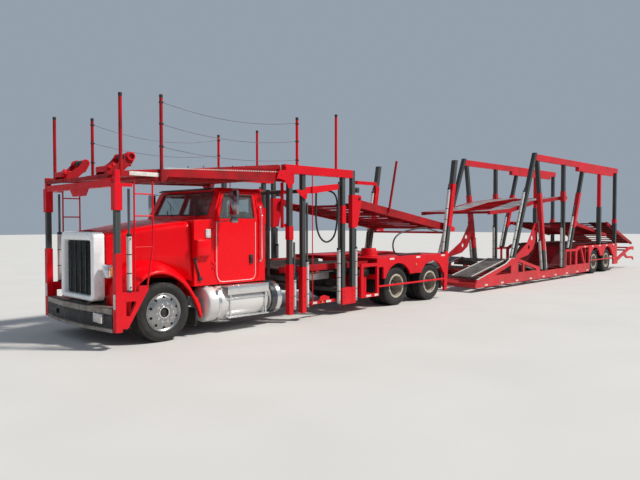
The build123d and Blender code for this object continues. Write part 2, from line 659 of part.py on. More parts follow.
# Car rack on the truck
# Telescoping front posts carry the head ramp; two pairs of posts behind the cab carry the rails.
red_tops = {"A": 1090, "B": 1025, "C": 540, "D": 540}
post_feet = {"A": 150, "B": 150, "C": 200, "D": 200}
collars = {"A": (1550, 1800), "C": (1850, 2210), "D": (1760, 2440)}
top_rail_low = 2780
sleeve_opening = post_tube + 2 * seat_gap
rack_opening = rack_tube + 2 * seat_gap
ladder_stations = (415, 720)
ladder_y = 1250
strap_pole_station = 4130
tube_face = rack_tube / 2 + seat_gap
front_post_face = front_post_station + front_outer / 2
pivot_plate_start = post_stations["D"] + rack_outer / 2 - 1
with BuildPart() as rack_frame:
    for side in side_names:
        y = side * post_y
        beam((front_post_station, y, 260), (front_post_station, y, 1420), front_outer, front_outer,
             hollow=20)
        plate([(front_post_face - 5, 300), (300, 300), (640, 860), (640, 920), (480, 920), (480, 838),
               (front_post_face - 5, 838)], y, 60)
        plate([(270, 480), (330, 480), (430, 660), (430, 700), (270, 700)], y, 80, mode=Mode.SUBTRACT)
        rod((ladder_stations[0], side * ladder_y, 837), (ladder_stations[0], side * ladder_y, 2490), 13)
        rod((ladder_stations[1] - 100, side * ladder_y, 900),
            (ladder_stations[1], side * ladder_y, 1500), 13)
        rod((ladder_stations[1], side * ladder_y, 1500), (ladder_stations[1], side * ladder_y, 2490), 13)
        for height in (1500, 1970, 2300):
            rod((ladder_stations[0], side * ladder_y, height),
                (ladder_stations[1], side * ladder_y, height), 11)
        for name, station in post_stations.items():
            beam((station, y, post_feet[name]), (station, y, red_tops[name]), rack_outer, rack_outer,
                 hollow=rack_outer - rack_opening)
        for name, (low, high) in collars.items():
            beam((post_stations[name], y, low), (post_stations[name], y, high), rack_outer,
                 rack_outer, hollow=rack_outer - rack_opening)
        block((post_stations["C"] + rack_outer / 2 - 1, post_stations["D"] - rack_outer / 2 + 1),
              (y - 50, y + 50), (200, 540))
        lower_bar = (post_stations["B"] + rack_outer / 2 - 1, post_stations["C"] - rack_outer / 2 + 1)
        block(lower_bar, (side * (rack_inner_y - 15), side * (rack_inner_y + 10)), (270, 330))
        block((strap_pole_station - 12, strap_pole_station + 12),
              (side * (rack_inner_y + 9), side * 1288), (270, 330))
        rod((strap_pole_station, side * 1284, 329),
            (strap_pole_station, side * 1284, top_rail_low - seat_gap), 10)
        plate([(pivot_plate_start, 1780), (5470, 1780), (5600, 2280), (5600, 2400), (5560, 2440),
               (pivot_plate_start, 2440)], y, 90)
        station, height = rear_pivot
        rod((station, side * 1270, height), (station, side * pivot_inner_y, height), pivot_radius)
    # Rails on top of the posts, with the head ramp's pins and two poles a side
    for side in side_names:
        y = side * post_y
        block((3430, post_stations["D"] - tube_face), (y - 60, y + 60), (top_rail_low, 2940))
        block((3430, post_stations["A"] - tube_face), (y - 45, y + 45), (2610, top_rail_low + 1))
        plate([(3440, 2640), (3500, 2500), (3540, 2500), (3660, 2900), (3440, 2900)], side * 1289, 9)
        station, height = head_pivot
        rod((station, side * 1250, height), (station, side * pivot_inner_y, height), pivot_radius)
        plate([(3920 + tube_face, 2430), (3920 + tube_face, 2540), (4885, 2645), (4885, 2530),
               (4180, 2430)], y, 88)
        plate([(4800, 2530), (4800, 2620), (5050 - tube_face, 2620), (5050 - tube_face, 2530)],
              side * 1186, 12)
        for station, tops in ((3780, (3840, 3760)), (4860, (4030, 3970))):
            rod((station, y, 2939), (station, y, tops[0] if side < 0 else tops[1]), pole_radius)
save(rack_frame, "rack_frame")

post_heads = {"A": top_rail_low, "B": top_rail_low, "C": top_rail_low, "D": 2940}
with BuildPart() as post_tubes:
    for side in side_names:
        for name, station in post_stations.items():
            beam((station, side * post_y, post_feet[name] + 10),
                 (station, side * post_y, post_heads[name] - seat_gap),
                 rack_tube, rack_tube, hollow=2 * post_wall)
save(post_tubes, "post_tubes")

# Tail posts at the truck's rear end, leaning rearwards; they stand with their cylinders on a sill
# that is slightly lower than the deck ahead of it
sill_front = 8680
sill_top = lower_deck_top - 2
tail_post_foot = (8850, lower_deck_top)
tail_post_head = (9290, 3440)

# Where the rear hose leaves its bracket under the deck and meets its clamp on the lower deck
hose_y = -1100
hose_bracket = (8150, 1740)
hose_clamp_station = 7990

# Lift cylinders: (station, barrel bottom, barrel top, rod top, face of what carries its foot).
# The clamp of the rear hose stands on the lower deck with them.
front_bracket_top = 838
lift_cylinders_table = [
    (340, front_bracket_top, 1700, 2370, None),
    (3700, 210, 830, 1500, post_stations["A"] + rack_outer / 2),
    (4040, 220, 1150, 2250, post_stations["B"] + rack_outer / 2),
    (4940, 200, 1350, 2690, post_stations["C"] - rack_outer / 2),
    (5460, 220, 1360, 1740, post_stations["D"] + rack_outer / 2),
]
with BuildPart() as lift_cylinders:
    for side in side_names:
        y = side * post_y
        for station, low, middle, high, face in lift_cylinders_table:
            rod((station, y, low + seat_gap), (station, y, middle), cylinder_radius)
            rod((station, y, middle - 1), (station, y, high), cylinder_rod_radius)
            if face:
                seated = face + seat_gap if station > face else face - seat_gap
                block((seated, station), (y - 25, y + 25), (low + 60, low + 130))
        lean = (tail_post_head[0] - tail_post_foot[0]) / (tail_post_head[1] - tail_post_foot[1])
        foot, middle, head = [(tail_post_foot[0] - 122 + (z - tail_post_foot[1]) * lean, y, z)
                              for z in (lower_deck_top + 10, 2360, 2700)]
        rod(foot, middle, cylinder_radius)
        rod(middle, head, cylinder_rod_radius)
        block((foot[0] - 18, foot[0] + 18), (y - 18, y + 18), (sill_top + seat_gap, 1140))
    block((hose_clamp_station, hose_clamp_station + 50), (hose_y - 35, hose_y + 35),
          (lower_deck_top + seat_gap, lower_deck_top + 45))
save(lift_cylinders, "lift_cylinders")

# Telescoping front slides: inner tubes and sleeves joined by the cross beam under the ramp
slide_tube = front_outer - 20 - 2 * seat_gap
front_sleeve_inner_y = post_y - front_sleeve / 2
with BuildPart() as head_slides:
    for side in side_names:
        y = side * post_y
        beam((front_post_station, y, 800), (front_post_station, y, 2640), slide_tube, slide_tube,
             hollow=2 * post_wall)
        beam((front_post_station, y, 2050), (front_post_station, y, 2450), front_sleeve, front_sleeve,
             hollow=front_sleeve - slide_tube + 2)
        block((front_post_station + front_sleeve / 2 - 5, 385), (y - 35, y + 35), (2400, 2450))
    block((front_post_station - 50, front_post_station + 50),
          (-front_sleeve_inner_y - 2, front_sleeve_inner_y + 2), (2400, 2500))
    drop = [(-330, 2401), (330, 2401), (230, 2290), (-230, 2290)]
    drop_face = [Vector(at(front_post_station) - 8, y, z) for y, z in drop]
    extrude(Face(Wire.make_polygon(drop_face)), amount=16, dir=(1, 0, 0))
save(head_slides, "head_slides")

# Head ramp over the hood and cab
rail_y = deck_half_width - deck_rail_width / 2
runway_outer_y = deck_half_width - deck_rail_width
runway_y = (runway_inner_y + runway_outer_y) / 2
runway_width = runway_outer_y - runway_inner_y + 2
head_ramp_line = [(60, 2570), (900, 2625), (head_pivot[0], 2728)]
with BuildPart() as head_ramp:
    for side in side_names:
        y = side * rail_y
        plate([(60, 2545), (60, 2620), (900, 2700), (3500, 2790), (3550, 2770), (3560, 2660),
               (3480, 2630), (900, 2590)], y, deck_rail_width)
        plate([(1000, 2700), (3400, 2940), (3460, 2930), (3480, 2775), (3400, 2775)], y, 12)
        plate([(800, 2600), (1080, 2600), (1010, 2515), (870, 2515)], side * (deck_half_width - 5), 10)
        rod((head_pivot[0], y - 60, head_pivot[1]), (head_pivot[0], y + 60, head_pivot[1]),
            pivot_radius + slide_gap, mode=Mode.SUBTRACT)
        for start, end in zip(head_ramp_line, head_ramp_line[1:]):
            beam((start[0], side * runway_y, start[1]), (end[0], side * runway_y, end[1]),
                 runway_width, runway_thickness)
        for station, foot, tops in ((250, 2560, (3780, 3700)), (930, 2510, (3850, 3760))):
            height = tops[0] if side < 0 else tops[1]
            rod((station, side * 1166, foot), (station, side * 1166, height), pole_radius)
        hook = [(150, 2570), (330, 2590), (520, 2760), (560, 2900), (500, 2930), (380, 2800), (200, 2680)]
        for offset in (-200, 200):
            plate(hook, side * runway_y + offset, 30)
        rod((520, side * runway_y - 215, 2880), (520, side * runway_y + 215, 2880), 45)
    for station, height in ((110, 2575), (900, 2612), (1900, 2655), (2800, 2693), (3380, 2715)):
        block((station - 35, station + 35), (-rail_y, rail_y), (height - 45, height + 5))
save(head_ramp, "head_ramp")

# Fixed decks: a small one hung between the second rails, and trough runways on the chassis
with BuildPart() as fixed_decks:
    deck_edge = post_inner_y - 8
    for side in side_names:
        beam((4010, side * (runway_inner_y + deck_edge) / 2, 2490),
             (4960, side * (runway_inner_y + deck_edge) / 2, 2580), deck_edge - runway_inner_y,
             runway_thickness)
    for station, height in ((4150, 2490), (4460, 2520), (4760, 2549)):
        reach = post_y - 44 - seat_gap
        block((station - 35, station + 35), (-reach, reach), (height - 42, height + 10))
    for side in side_names:
        block((3480, 6050), (side * runway_inner_y, side * runway_outer_y),
              (low_runway_top - 28, low_runway_top))
        for edge in (runway_inner_y, runway_outer_y - 30):
            block((3480, 6050), (side * edge, side * (edge + 30)),
                  (low_runway_top - 80, low_runway_top + 40))
    for station in (3700, 4480, 5500, 5950):
        block((station - 40, station + 40), (-runway_outer_y, runway_outer_y),
              (rail_top + seat_gap, low_runway_top - 27))
save(fixed_decks, "fixed_decks")

# Rear body: the deck between its side beams arched over the tandem, the pump frames ahead of it,
# and the tail posts
arch_cut = 520
frame_rear = 6170
frame_top = 1000
with BuildPart() as rear_body:
    for side in side_names:
        y = side * side_plate_y
        plate([(5580, 280), (frame_rear, 280), (frame_rear, frame_top), (5580, frame_top)], y,
              side_plate_thickness)
        plate([(5650, 350), (6100, 350), (6100, 930), (5650, 930)], y, 200, mode=Mode.SUBTRACT)
        for station in (5630, 6139):
            block((station - 29, station + 29), (side * (rail_outer_y + seat_gap), side * 1240),
                  (640, 740))
        block((5655, 6112), (side * 760, side * 1236), (300, 340))
        block((5601, 5659), (side * 760, side * 1236), (300, 641))
        rod((5880, side * 1000, 339), (5880, side * 1000, 700), 130)
        plate([(frame_rear + seat_gap, 900), (6331, 900), (6331, 640), (7545, 700), (8740, 640),
               (8740, 200), (8850, 200), (8930, 900), (8930, sill_top), (sill_front, sill_top),
               (sill_front, lower_deck_top), (6111, lower_deck_top), (6111, frame_top + seat_gap),
               (frame_rear + seat_gap, frame_top + seat_gap)], y, side_plate_thickness)
        for station in drive_axle_stations:
            rod((station, y - 60, twin_height), (station, y + 60, twin_height), arch_cut,
                mode=Mode.SUBTRACT)
        rod((frame_rear + seat_gap, side * 1262, 480), (8745, side * 1262, 480), 22)
        block((6111, sill_front), (side * runway_inner_y, side * 1236),
              (lower_deck_top - 28, lower_deck_top))
        block((sill_front - 1, 8920), (side * runway_inner_y, side * 1236),
              (lower_deck_top - 28, sill_top))
        block((8840, 8925), (side * 420, side * 1240), (lower_deck_top - 140, sill_top))
        add(leaning_tube(tail_post_foot, tail_post_head, side * post_y, sill_top + seat_gap,
                         tail_post_head[1], post_tube, post_tube - 2 * post_wall))
    rod((hose_bracket[0] + 25, hose_y, hose_bracket[1]), (8880, -1150, 1600), 14)
    rod((8880, -1150, 1600), (8940, -1180, 1600), 14)
    block((hose_bracket[0], hose_bracket[0] + 50), (hose_y - 25, hose_y + 25),
          (hose_bracket[1] - 25, hose_bracket[1] + 25))
    for station in (6250, 7000, 7545, 8100, 8650):
        block((station - 40, station + 40), (-450, 450), (rail_top + seat_gap, lower_deck_top - 20))
save(rear_body, "rear_body")

# Leaning slides on the tail posts, joined by the bar under the rear deck's end
slide_plate_y = post_inner_y - 4.5
with BuildPart() as deck_slides:
    for side in side_names:
        add(leaning_tube(tail_post_foot, tail_post_head, side * post_y, 1770, 2840, post_outer,
                         sleeve_opening))
        plate([(9090, 1760), (9180, 1650), (9400, 1630), (9440, 1720), (9380, 1760), (9200, 1790),
               (9150, 2000), (9050, 2000)], side * slide_plate_y, 10)
        plate([(8990, 1590), (9050, 1590), (9200, 1720), (9150, 1900), (9030, 1900)],
              side * slide_plate_y, 10)
    block((8990, 9050), (-slide_plate_y, slide_plate_y), (1590, 1640))
    block((8300, 9118), (post_y - 69, post_y + 40), (2900, 2990))
    plate([(9110, 2780), (9240, 2780), (9240, 2840), (9117, 2910), (9050, 2910)], post_y - 66, 8)
save(deck_slides, "rear_deck_slides")

# Rear deck, hinged on the posts behind the cab and sloping down to the tail posts
rear_deck_line = [(5700, 2270), (9070, 1755)]
with BuildPart() as rear_deck:
    for side in side_names:
        y = side * rail_y
        plate([(5490, 2400), (5600, 2410), (5720, 2345), (9060, 1835), (9100, 1800), (9100, 1690),
               (9060, 1665), (5740, 2175), (5560, 2300), (5490, 2310)], y, deck_rail_width)
        rod((rear_pivot[0], y - 60, rear_pivot[1]), (rear_pivot[0], y + 60, rear_pivot[1]),
            pivot_radius + slide_gap, mode=Mode.SUBTRACT)
        start, end = rear_deck_line
        beam((start[0], side * runway_y, start[1]), (end[0], side * runway_y, end[1]),
             runway_width, runway_thickness)
    for distance in (60, 1100, 2200, 3340):
        station, height = along(*rear_deck_line, distance)
        block((station - 35, station + 35), (-rail_y, rail_y), (height - 60, height - 5))
    rod((6670, -1162, 2110), (6950, -1162, 3250), pole_radius)
save(rear_deck, "rear_deck")

# Trailer
# The frame is two side plates with a raised truss at the nose and arches over the axles.
trailer_deck_top = 1050
truss_top = 830
drawbar_line = [(hitch_station + 60, 60, 398), (9720, 200, 396), (10300, 720, 240)]
with BuildPart() as trailer_frame:
    for side in side_names:
        y = side * side_plate_y
        plate([(10250, low_rail_bottom), (18170, low_rail_bottom), (18240, 200), (18240, 640),
               (20640, 640), (20680, 250), (21150, 250), (21150, 420), (21060, 480),
               (21060, trailer_deck_top), (17300, trailer_deck_top), (17040, 960), (16100, 960),
               (16100, low_rail_top), (14150, low_rail_top), (14150, 480), (12620, truss_top),
               (12280, truss_top), (11980, 690), (10350, 330), (10250, 200)],
              y, side_plate_thickness)
        for window in ([(11250, 400), (12250, 640), (12250, 400)],
                       [(12700, 400), (12700, 720), (13000, 650), (13000, 400)],
                       [(13100, 400), (13100, 620), (13900, 450), (13900, 400)],
                       [(16180, 420), (16180, 890), (16500, 890), (16500, 420)],
                       [(16580, 420), (16580, 890), (16950, 890), (16950, 420)],
                       [(17100, 420), (17100, 860), (17400, 980), (17700, 420)],
                       [(17800, 420), (17500, 980), (18150, 980), (18150, 420)]):
            plate(window, y, 200, mode=Mode.SUBTRACT)
        for station in trailer_axle_stations:
            rod((station, y - 60, twin_height), (station, y + 60, twin_height), arch_cut,
                mode=Mode.SUBTRACT)
        rod((18180, side * 1262, 500), (20700, side * 1262, 500), 20)
        block((17950, 21030), (side * 440, side * 520), (600, 720))
        for start, end in zip(drawbar_line, drawbar_line[1:]):
            beam((start[0], side * start[1], start[2]), (end[0], side * end[1], end[2]), 110, 84)
        block((12620, 12740), (side * (post_inner_y - 5), side * (side_plate_y - 20)),
              (truss_top - 60, truss_top - 20))
        brace = [(12600, truss_top - 40), (12800, truss_top - 80), (13592, 869), (13948, 1058),
                 (14125, 1339), (14280, 1624), (14260, 1850), (14040, 1850), (13809, 1548),
                 (13530, 1231), (13066, 1007)]
        plate(brace, side * (post_inner_y - 8), 14)
        for station, height, radius in ((13647, 1109, 62), (13860, 1386, 68), (14080, 1660, 60)):
            rod((station, side * (post_inner_y - 20), height), (station, side * post_inner_y, height),
                radius, mode=Mode.SUBTRACT)
        rod((21100, side * 1236, 330), (21100, side * 1152, 330), 26)
    for station in (10300, 11200, 12100, 13000, 14000, 15000, 16000, 17000, 18000):
        block((station - 40, station + 40), (-side_plate_y + 20, side_plate_y - 20), (130, 250))
    block((17950, 17990), (-side_plate_y + 20, side_plate_y - 20), (130, trailer_deck_top))
    block((21000, 21040), (-side_plate_y + 20, side_plate_y - 20), (560, trailer_deck_top))
    rod((hitch_station, 0, hitch_plate_top + slide_gap), (hitch_station, 0, 440), 130)
    rod((hitch_station, 0, hitch_plate_top - 1), (hitch_station, 0, 441),
        hitch_pin_radius + slide_gap, mode=Mode.SUBTRACT)
save(trailer_frame, "trailer_frame")

# Trailer axles with their springs, under the frame's inner rails
inner_rail_bottom = 600
with BuildPart() as trailer_axles:
    for station in trailer_axle_stations:
        rod((station, -640, twin_height), (station, 640, twin_height), 65)
        rod((station, -(twin_wheel_y + 80), twin_height), (station, twin_wheel_y + 80, twin_height),
            spindle_radius)
        for side in side_names:
            low, high = inner_rail_bottom - 70, inner_rail_bottom - seat_gap
            plate([(station - 500, high), (station - 500, low + 10), (station - 80, low - 40),
                   (station + 80, low - 40), (station + 500, low + 10), (station + 500, high),
                   (station + 430, high), (station + 430, low + 40), (station, low + 15),
                   (station - 430, low + 40), (station - 430, high)], side * 480, 76)
save(trailer_axles, "trailer_axles")

# Trailer posts: name, foot and head of the axis, and the two heights it is cut at
trailer_posts_table = {
    "nose strut": ((12470, 830), (13840, 3990), truss_top, 4000),
    "nose post": ((14550, 480), (14000, 3760), low_rail_top, top_rail_bottom),
    "well post": ((16000, 350), (16000, 3770), low_rail_top, top_rail_bottom),
    "leaning post": ((16520, 930), (17600, 3640), 960, 3640),
    "axle post": ((19250, 1050), (19250, 3640), trailer_deck_top, 3640),
    "tail post": ((20900, 1050), (20900, 3770), trailer_deck_top, top_rail_bottom),
}
with BuildPart() as trailer_posts:
    for side in side_names:
        for foot, head, low, high in trailer_posts_table.values():
            add(leaning_tube(foot, head, side * post_y, low + seat_gap, high - seat_gap, post_tube,
                             post_tube - 2 * post_wall))
save(trailer_posts, "trailer_posts")

# Red sleeves round the trailer posts, with the ears and pins that the decks hang on
front_deck_pivot = (16170, 2690)
rear_deck_pivot = (17120, 1850)
tail_deck_pivot = (21010, 1660)
trailer_sleeves_table = {
    "nose post": (1000, 2780),
    "well post": (2560, 2900),
    "leaning post": (1700, 2900),
    "axle post": (1100, 2440),
    "tail post": (1500, 2000),
}
with BuildPart() as trailer_rack:
    for side in side_names:
        y = side * post_y
        for name, (low, high) in trailer_sleeves_table.items():
            foot, head, _, _ = trailer_posts_table[name]
            add(leaning_tube(foot, head, y, low, high, post_outer, sleeve_opening))
        plate([(16069, 2600), (16220, 2640), (16220, 2740), (16069, 2780)], y, 90)
        plate([(16908, 1730), (17160, 1800), (17160, 1900), (16985, 1930)], y, 90)
        plate([(20969, 1580), (21060, 1610), (21060, 1710), (20969, 1760)], side * 1162, 14)
        for station, height in (front_deck_pivot, rear_deck_pivot):
            rod((station, side * 1260, height), (station, side * pivot_inner_y, height), pivot_radius)
        rod((tail_deck_pivot[0], side * 1168, tail_deck_pivot[1]),
            (tail_deck_pivot[0], side * pivot_inner_y, tail_deck_pivot[1]), pivot_radius)
        plate([(13812, top_rail_bottom), (13894, top_rail_top), (21040, top_rail_top),
               (21040, top_rail_bottom), (20530, top_rail_bottom), (20530, 3640), (17150, 3640),
               (17150, top_rail_bottom)], y, 120)
save(trailer_rack, "trailer_rack")

# Trailer lift cylinders: foot, top of the barrel, top of the rod, height it stands on
trailer_cylinders_table = [
    ((12330, truss_top), (13150, 2800), (13190, 2900)),
    ((14395, low_rail_top), (14225, 1330), (14130, 1900)),
    ((14735, low_rail_top), (14570, 1330), (14475, 1900)),
    ((15880, low_rail_top), (15880, 1730), (15880, 2540)),
    ((16380, 960), (16830, 2100), (16975, 2470)),
    ((21010, trailer_deck_top), (21010, 1500), (21010, 1560)),
]
with BuildPart() as trailer_cylinders:
    for side in side_names:
        y = side * post_y
        for foot, middle, head in trailer_cylinders_table:
            low = along(foot, head, cylinder_radius * 0.5)
            rod((low[0], y, low[1]), (middle[0], y, middle[1]), cylinder_radius)
            rod((middle[0], y, middle[1]), (head[0], y, head[1]), cylinder_rod_radius)
            block((low[0] - 18, low[0] + 18), (y - 18, y + 18), (foot[1] + seat_gap, low[1] + 30))
save(trailer_cylinders, "trailer_cylinders")

# Trailer low deck: two runways that climb over the nose, dip to the well and rise over the axles
low_deck_line = [(10420, 390), (12450, 790), (14120, 400), (16900, 400), (17750, 1090), (20980, 1090)]
with BuildPart() as trailer_low_deck:
    for side in side_names:
        for start, end in zip(low_deck_line, low_deck_line[1:]):
            beam((start[0], side * runway_y, start[1]), (end[0], side * runway_y, end[1]),
                 runway_width, runway_thickness)
    reach = side_plate_y - side_plate_thickness / 2 - seat_gap
    for station, height in ((10560, 418), (11500, 603), (12450, 790), (13300, 590), (14120, 400),
                            (15500, 400), (16850, 400), (17850, 1090), (19430, 1090), (20700, 1090)):
        block((station - 35, station + 35), (-reach, reach), (height - 95, height - 8))
save(trailer_low_deck, "trailer_low_deck")

# Trailer upper decks
def upper_deck(pivot, outline, line, distances):
    """A pair of rails with bored ears, two runways between them and their cross bars."""
    with BuildPart() as deck:
        for side in side_names:
            y = side * rail_y
            plate(outline, y, deck_rail_width)
            rod((pivot[0], y - 60, pivot[1]), (pivot[0], y + 60, pivot[1]), pivot_radius + slide_gap,
                mode=Mode.SUBTRACT)
            for start, end in zip(line, line[1:]):
                beam((start[0], side * runway_y, start[1]), (end[0], side * runway_y, end[1]),
                     runway_width, runway_thickness)
        for start, end, distance in distances:
            station, height = along(line[start], line[end], distance)
            block((station - 30, station + 30), (-rail_y, rail_y), (height - 55, height - 5))
    return deck.part


with BuildPart() as trailer_front_deck:
    add(upper_deck(front_deck_pivot,
                   [(11250, 2090), (12500, 2160), (14000, 2430), (16100, 2630), (16230, 2650),
                    (16230, 2740), (16100, 2740), (14000, 2540), (12500, 2270), (11250, 2190)],
                   [(11270, 2170), (12500, 2245), (14000, 2515), (16050, 2710)],
                   [(0, 1, 60), (0, 1, 1150), (1, 2, 700), (2, 3, 60), (2, 3, 1000), (2, 3, 1950)]))
save(trailer_front_deck, "trailer_front_deck")
with BuildPart() as trailer_rear_deck:
    add(upper_deck(rear_deck_pivot,
                   [(17070, 1800), (20300, 1340), (20300, 1440), (17200, 1900), (17070, 1900)],
                   [(17200, 1865), (20290, 1420)], [(0, 1, 60), (0, 1, 1500), (0, 1, 3000)]))
save(trailer_rear_deck, "trailer_rear_deck")
with BuildPart() as tail_deck:
    add(upper_deck(tail_deck_pivot,
                   [(20400, 1790), (20960, 1620), (23280, 950), (23300, 990), (23290, 1040),
                    (21060, 1700), (20400, 1890)],
                   [(20410, 1860), (23280, 1020)], [(0, 1, 60), (0, 1, 1500), (0, 1, 2900)]))
save(tail_deck, "tail_deck")

# Tail ramp: bent arms with hooked ends on the tail pins, joined by two tubes and a mesh
with BuildPart() as tail_ramp:
    for side in side_names:
        y = side * 1190
        plate([(21050, 290), (21150, 280), (22700, 730), (23200, 760), (23300, 720), (23290, 850),
               (23200, 870), (22680, 850), (21050, 390)], y, 50)
        plate([(22100, 540), (22500, 400), (23150, 380), (23290, 300), (23270, 400), (23160, 460),
               (22520, 480), (22250, 620)], y, 50)
        rod((21100, y - 60, 330), (21100, y + 60, 330), 26 + slide_gap, mode=Mode.SUBTRACT)
    for station, height in ((21500, 440), (22500, 730), (23150, 810)):
        rod((station, -1190, height), (station, 1190, height), 30)
save(tail_ramp, "tail_ramp")

# Hydraulic hoses
# Each follows a few control points, rounded by arcs of 0.45 of the shorter neighbouring run.
hose_radius = 18
hose_front_points = [(4800, 2512), (4940, 2500), (5065, 2385), (5085, 2100), (5060, 1800),
                     (4980, 1560), (4760, 1450), (4560, 1560), (4460, 1800), (4450, 2120),
                     (4460, 2477)]
hose_floor = lower_deck_top + hose_radius + seat_gap
hose_rear_points = [(hose_bracket[0] - seat_gap, hose_bracket[1]), (7940, 1737), (7600, 1700),
                    (7200, 1640), (6975, 1530), (6892, 1387), (6921, 1224), (7047, hose_floor),
                    (7340, hose_floor + 8), (7640, hose_floor + 12),
                    (hose_clamp_station - 1, hose_floor)]


def hose(points, y):
    """Round hose through the (station, height) points, on one lengthwise plane."""
    path = [Vector(at(station), y, height) for station, height in points]
    runs = [(after - before).length for before, after in zip(path, path[1:])]
    radii = []
    for index in range(1, len(path) - 1):
        turn = (path[index] - path[index - 1]).get_angle(path[index + 1] - path[index])
        radii.append(0.45 * min(runs[index - 1], runs[index]) / tan(radians(turn / 2)))
    print("hose radii", [round(radius) for radius in radii])
    with BuildPart() as tube:
        with BuildLine() as route:
            FilletPolyline(*path, radius=radii)
        with BuildSketch(Plane(origin=path[0], z_dir=path[1] - path[0])):
            Circle(hose_radius)
        sweep(path=route.line)
    return tube.part


with BuildPart() as hose_front:
    add(hose(hose_front_points, -1060))
save(hose_front, "hose_front")
with BuildPart() as hose_rear:
    add(hose(hose_rear_points, hose_y))
save(hose_rear, "hose_rear")
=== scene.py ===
# %% [markdown]
# # Car transporter: a truck and its trailer dressed for the camera
# The CAD model is the skeleton. It gives every post, deck and wheel its true size and place, and
# this script adds the surfaces and small parts that make the machine look used and real.

# %% Load the frame
import math

import bmesh
import bpy
from mathutils import Matrix, Vector


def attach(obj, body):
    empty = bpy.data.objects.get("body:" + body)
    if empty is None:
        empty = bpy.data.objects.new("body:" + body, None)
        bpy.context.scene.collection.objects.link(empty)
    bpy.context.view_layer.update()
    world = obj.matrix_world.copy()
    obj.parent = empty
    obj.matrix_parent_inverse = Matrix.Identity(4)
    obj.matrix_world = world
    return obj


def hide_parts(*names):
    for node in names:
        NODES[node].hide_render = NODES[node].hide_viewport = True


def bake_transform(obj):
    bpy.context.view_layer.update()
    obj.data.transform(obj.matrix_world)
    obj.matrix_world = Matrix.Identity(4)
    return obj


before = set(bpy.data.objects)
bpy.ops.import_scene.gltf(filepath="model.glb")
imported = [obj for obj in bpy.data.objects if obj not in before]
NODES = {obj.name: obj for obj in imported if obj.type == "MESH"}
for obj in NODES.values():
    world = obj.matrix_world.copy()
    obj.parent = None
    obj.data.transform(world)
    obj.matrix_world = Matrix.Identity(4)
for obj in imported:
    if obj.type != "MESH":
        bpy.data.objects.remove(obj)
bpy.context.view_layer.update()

LENGTH = 23.3
print(len(NODES), "nodes loaded")

# %% [markdown]
# ## Stations
# A long vehicle is easiest to describe by how far each thing is from the front bumper. These
# stations are turned into the frame's X, which has its zero at the middle of the rig.

# %% Places
def at(station):
    return station - LENGTH / 2


def point(station, y, height):
    return Vector((at(station), y, height))


SIDES = (-1, 1)
NAMES = {-1: "left", 1: "right"}

# %% [markdown]
# ## The camera first
# The camera stands where the photographer stood, near the truck's front corner and a little under
# eye height. The lens is a phone's main lens. Everything later is judged through this view.

# %% Camera
camera = bpy.data.objects.new("camera", bpy.data.cameras.new("camera"))
bpy.context.scene.collection.objects.link(camera)
camera.location = (-15.789, -9.512, 1.868)
camera.rotation_euler = [math.radians(a) for a in (88.36, 0.04, -45.85)]
camera.data.sensor_width = 36
camera.data.lens = 607.5 / 640 * 36
camera.data.clip_end = 200
bpy.context.scene.camera = camera
print("camera at", tuple(camera.location))

# %% [markdown]
# ## Building blocks
# Fabricated steel is tubes, plates and turned parts. Each helper adds one such shape to a bmesh, so
# that many of them can be joined into one piece before it becomes an object.

# %% Shape helpers
def tube(bm, start, end, radius, sides=16, end_radius=None):
    """Round bar with slightly rounded ends."""
    start, end = Vector(start), Vector(end)
    run = end - start
    turn = run.to_track_quat("Z", "Y").to_matrix().to_4x4()
    place = Matrix.Translation((start + end) / 2) @ turn
    made = bmesh.ops.create_cone(bm, cap_ends=True, segments=sides, radius1=radius,
                                 radius2=radius if end_radius is None else end_radius,
                                 depth=run.length, matrix=place)
    return made["verts"]


def box(bm, low, high, edge=0.004, turn=None, pivot=None):
    """Block with rounded edges; turn is a matrix applied about pivot."""
    low, high = Vector(low), Vector(high)
    middle = (low + high) / 2
    size = [abs(high[i] - low[i]) for i in range(3)]
    made = bmesh.ops.create_cube(bm, size=1, matrix=Matrix.Translation(middle)
                                 @ Matrix.Diagonal((*size, 1)))
    verts = made["verts"]
    if edge:
        edges = {e for v in verts for e in v.link_edges}
        done = bmesh.ops.bevel(bm, geom=list(edges), offset=min(edge, min(size) * 0.3), segments=2,
                               affect="EDGES", profile=0.5)
        verts = list({v for f in done["faces"] for v in f.verts} | {v for v in verts if v.is_valid})
    if turn is not None:
        about = Matrix.Translation(pivot) @ turn @ Matrix.Translation(-Vector(pivot))
        bmesh.ops.transform(bm, matrix=about, verts=verts)
    return verts


def lathe(bm, profile, centre, segments=64, axis="Y", direction=1):
    """Turned shape; the profile is (along the axis, radius) corners, outboard along direction."""
    rows = []
    for along, radius in profile:
        row = []
        for index in range(segments):
            angle = 2 * math.pi * index / segments
            a, b = radius * math.cos(angle), radius * math.sin(angle)
            spot = {"Y": (a, direction * along, b), "X": (direction * along, a, b),
                    "Z": (a, b, direction * along)}[axis]
            row.append(bm.verts.new(Vector(centre) + Vector(spot)))
        rows.append(row)
    for first, second in zip(rows, rows[1:]):
        for index in range(segments):
            after = (index + 1) % segments
            bm.faces.new((first[index], first[after], second[after], second[index]))
    return rows


def sheet(bm, corners, thickness, direction):
    """Flat plate: the corners in order, thickened along direction."""
    push = Vector(direction).normalized() * thickness / 2
    front = [bm.verts.new(Vector(c) + push) for c in corners]
    back = [bm.verts.new(Vector(c) - push) for c in corners]
    bm.faces.new(front)
    bm.faces.new(list(reversed(back)))
    for index in range(len(corners)):
        after = (index + 1) % len(corners)
        bm.faces.new((front[index], back[index], back[after], front[after]))


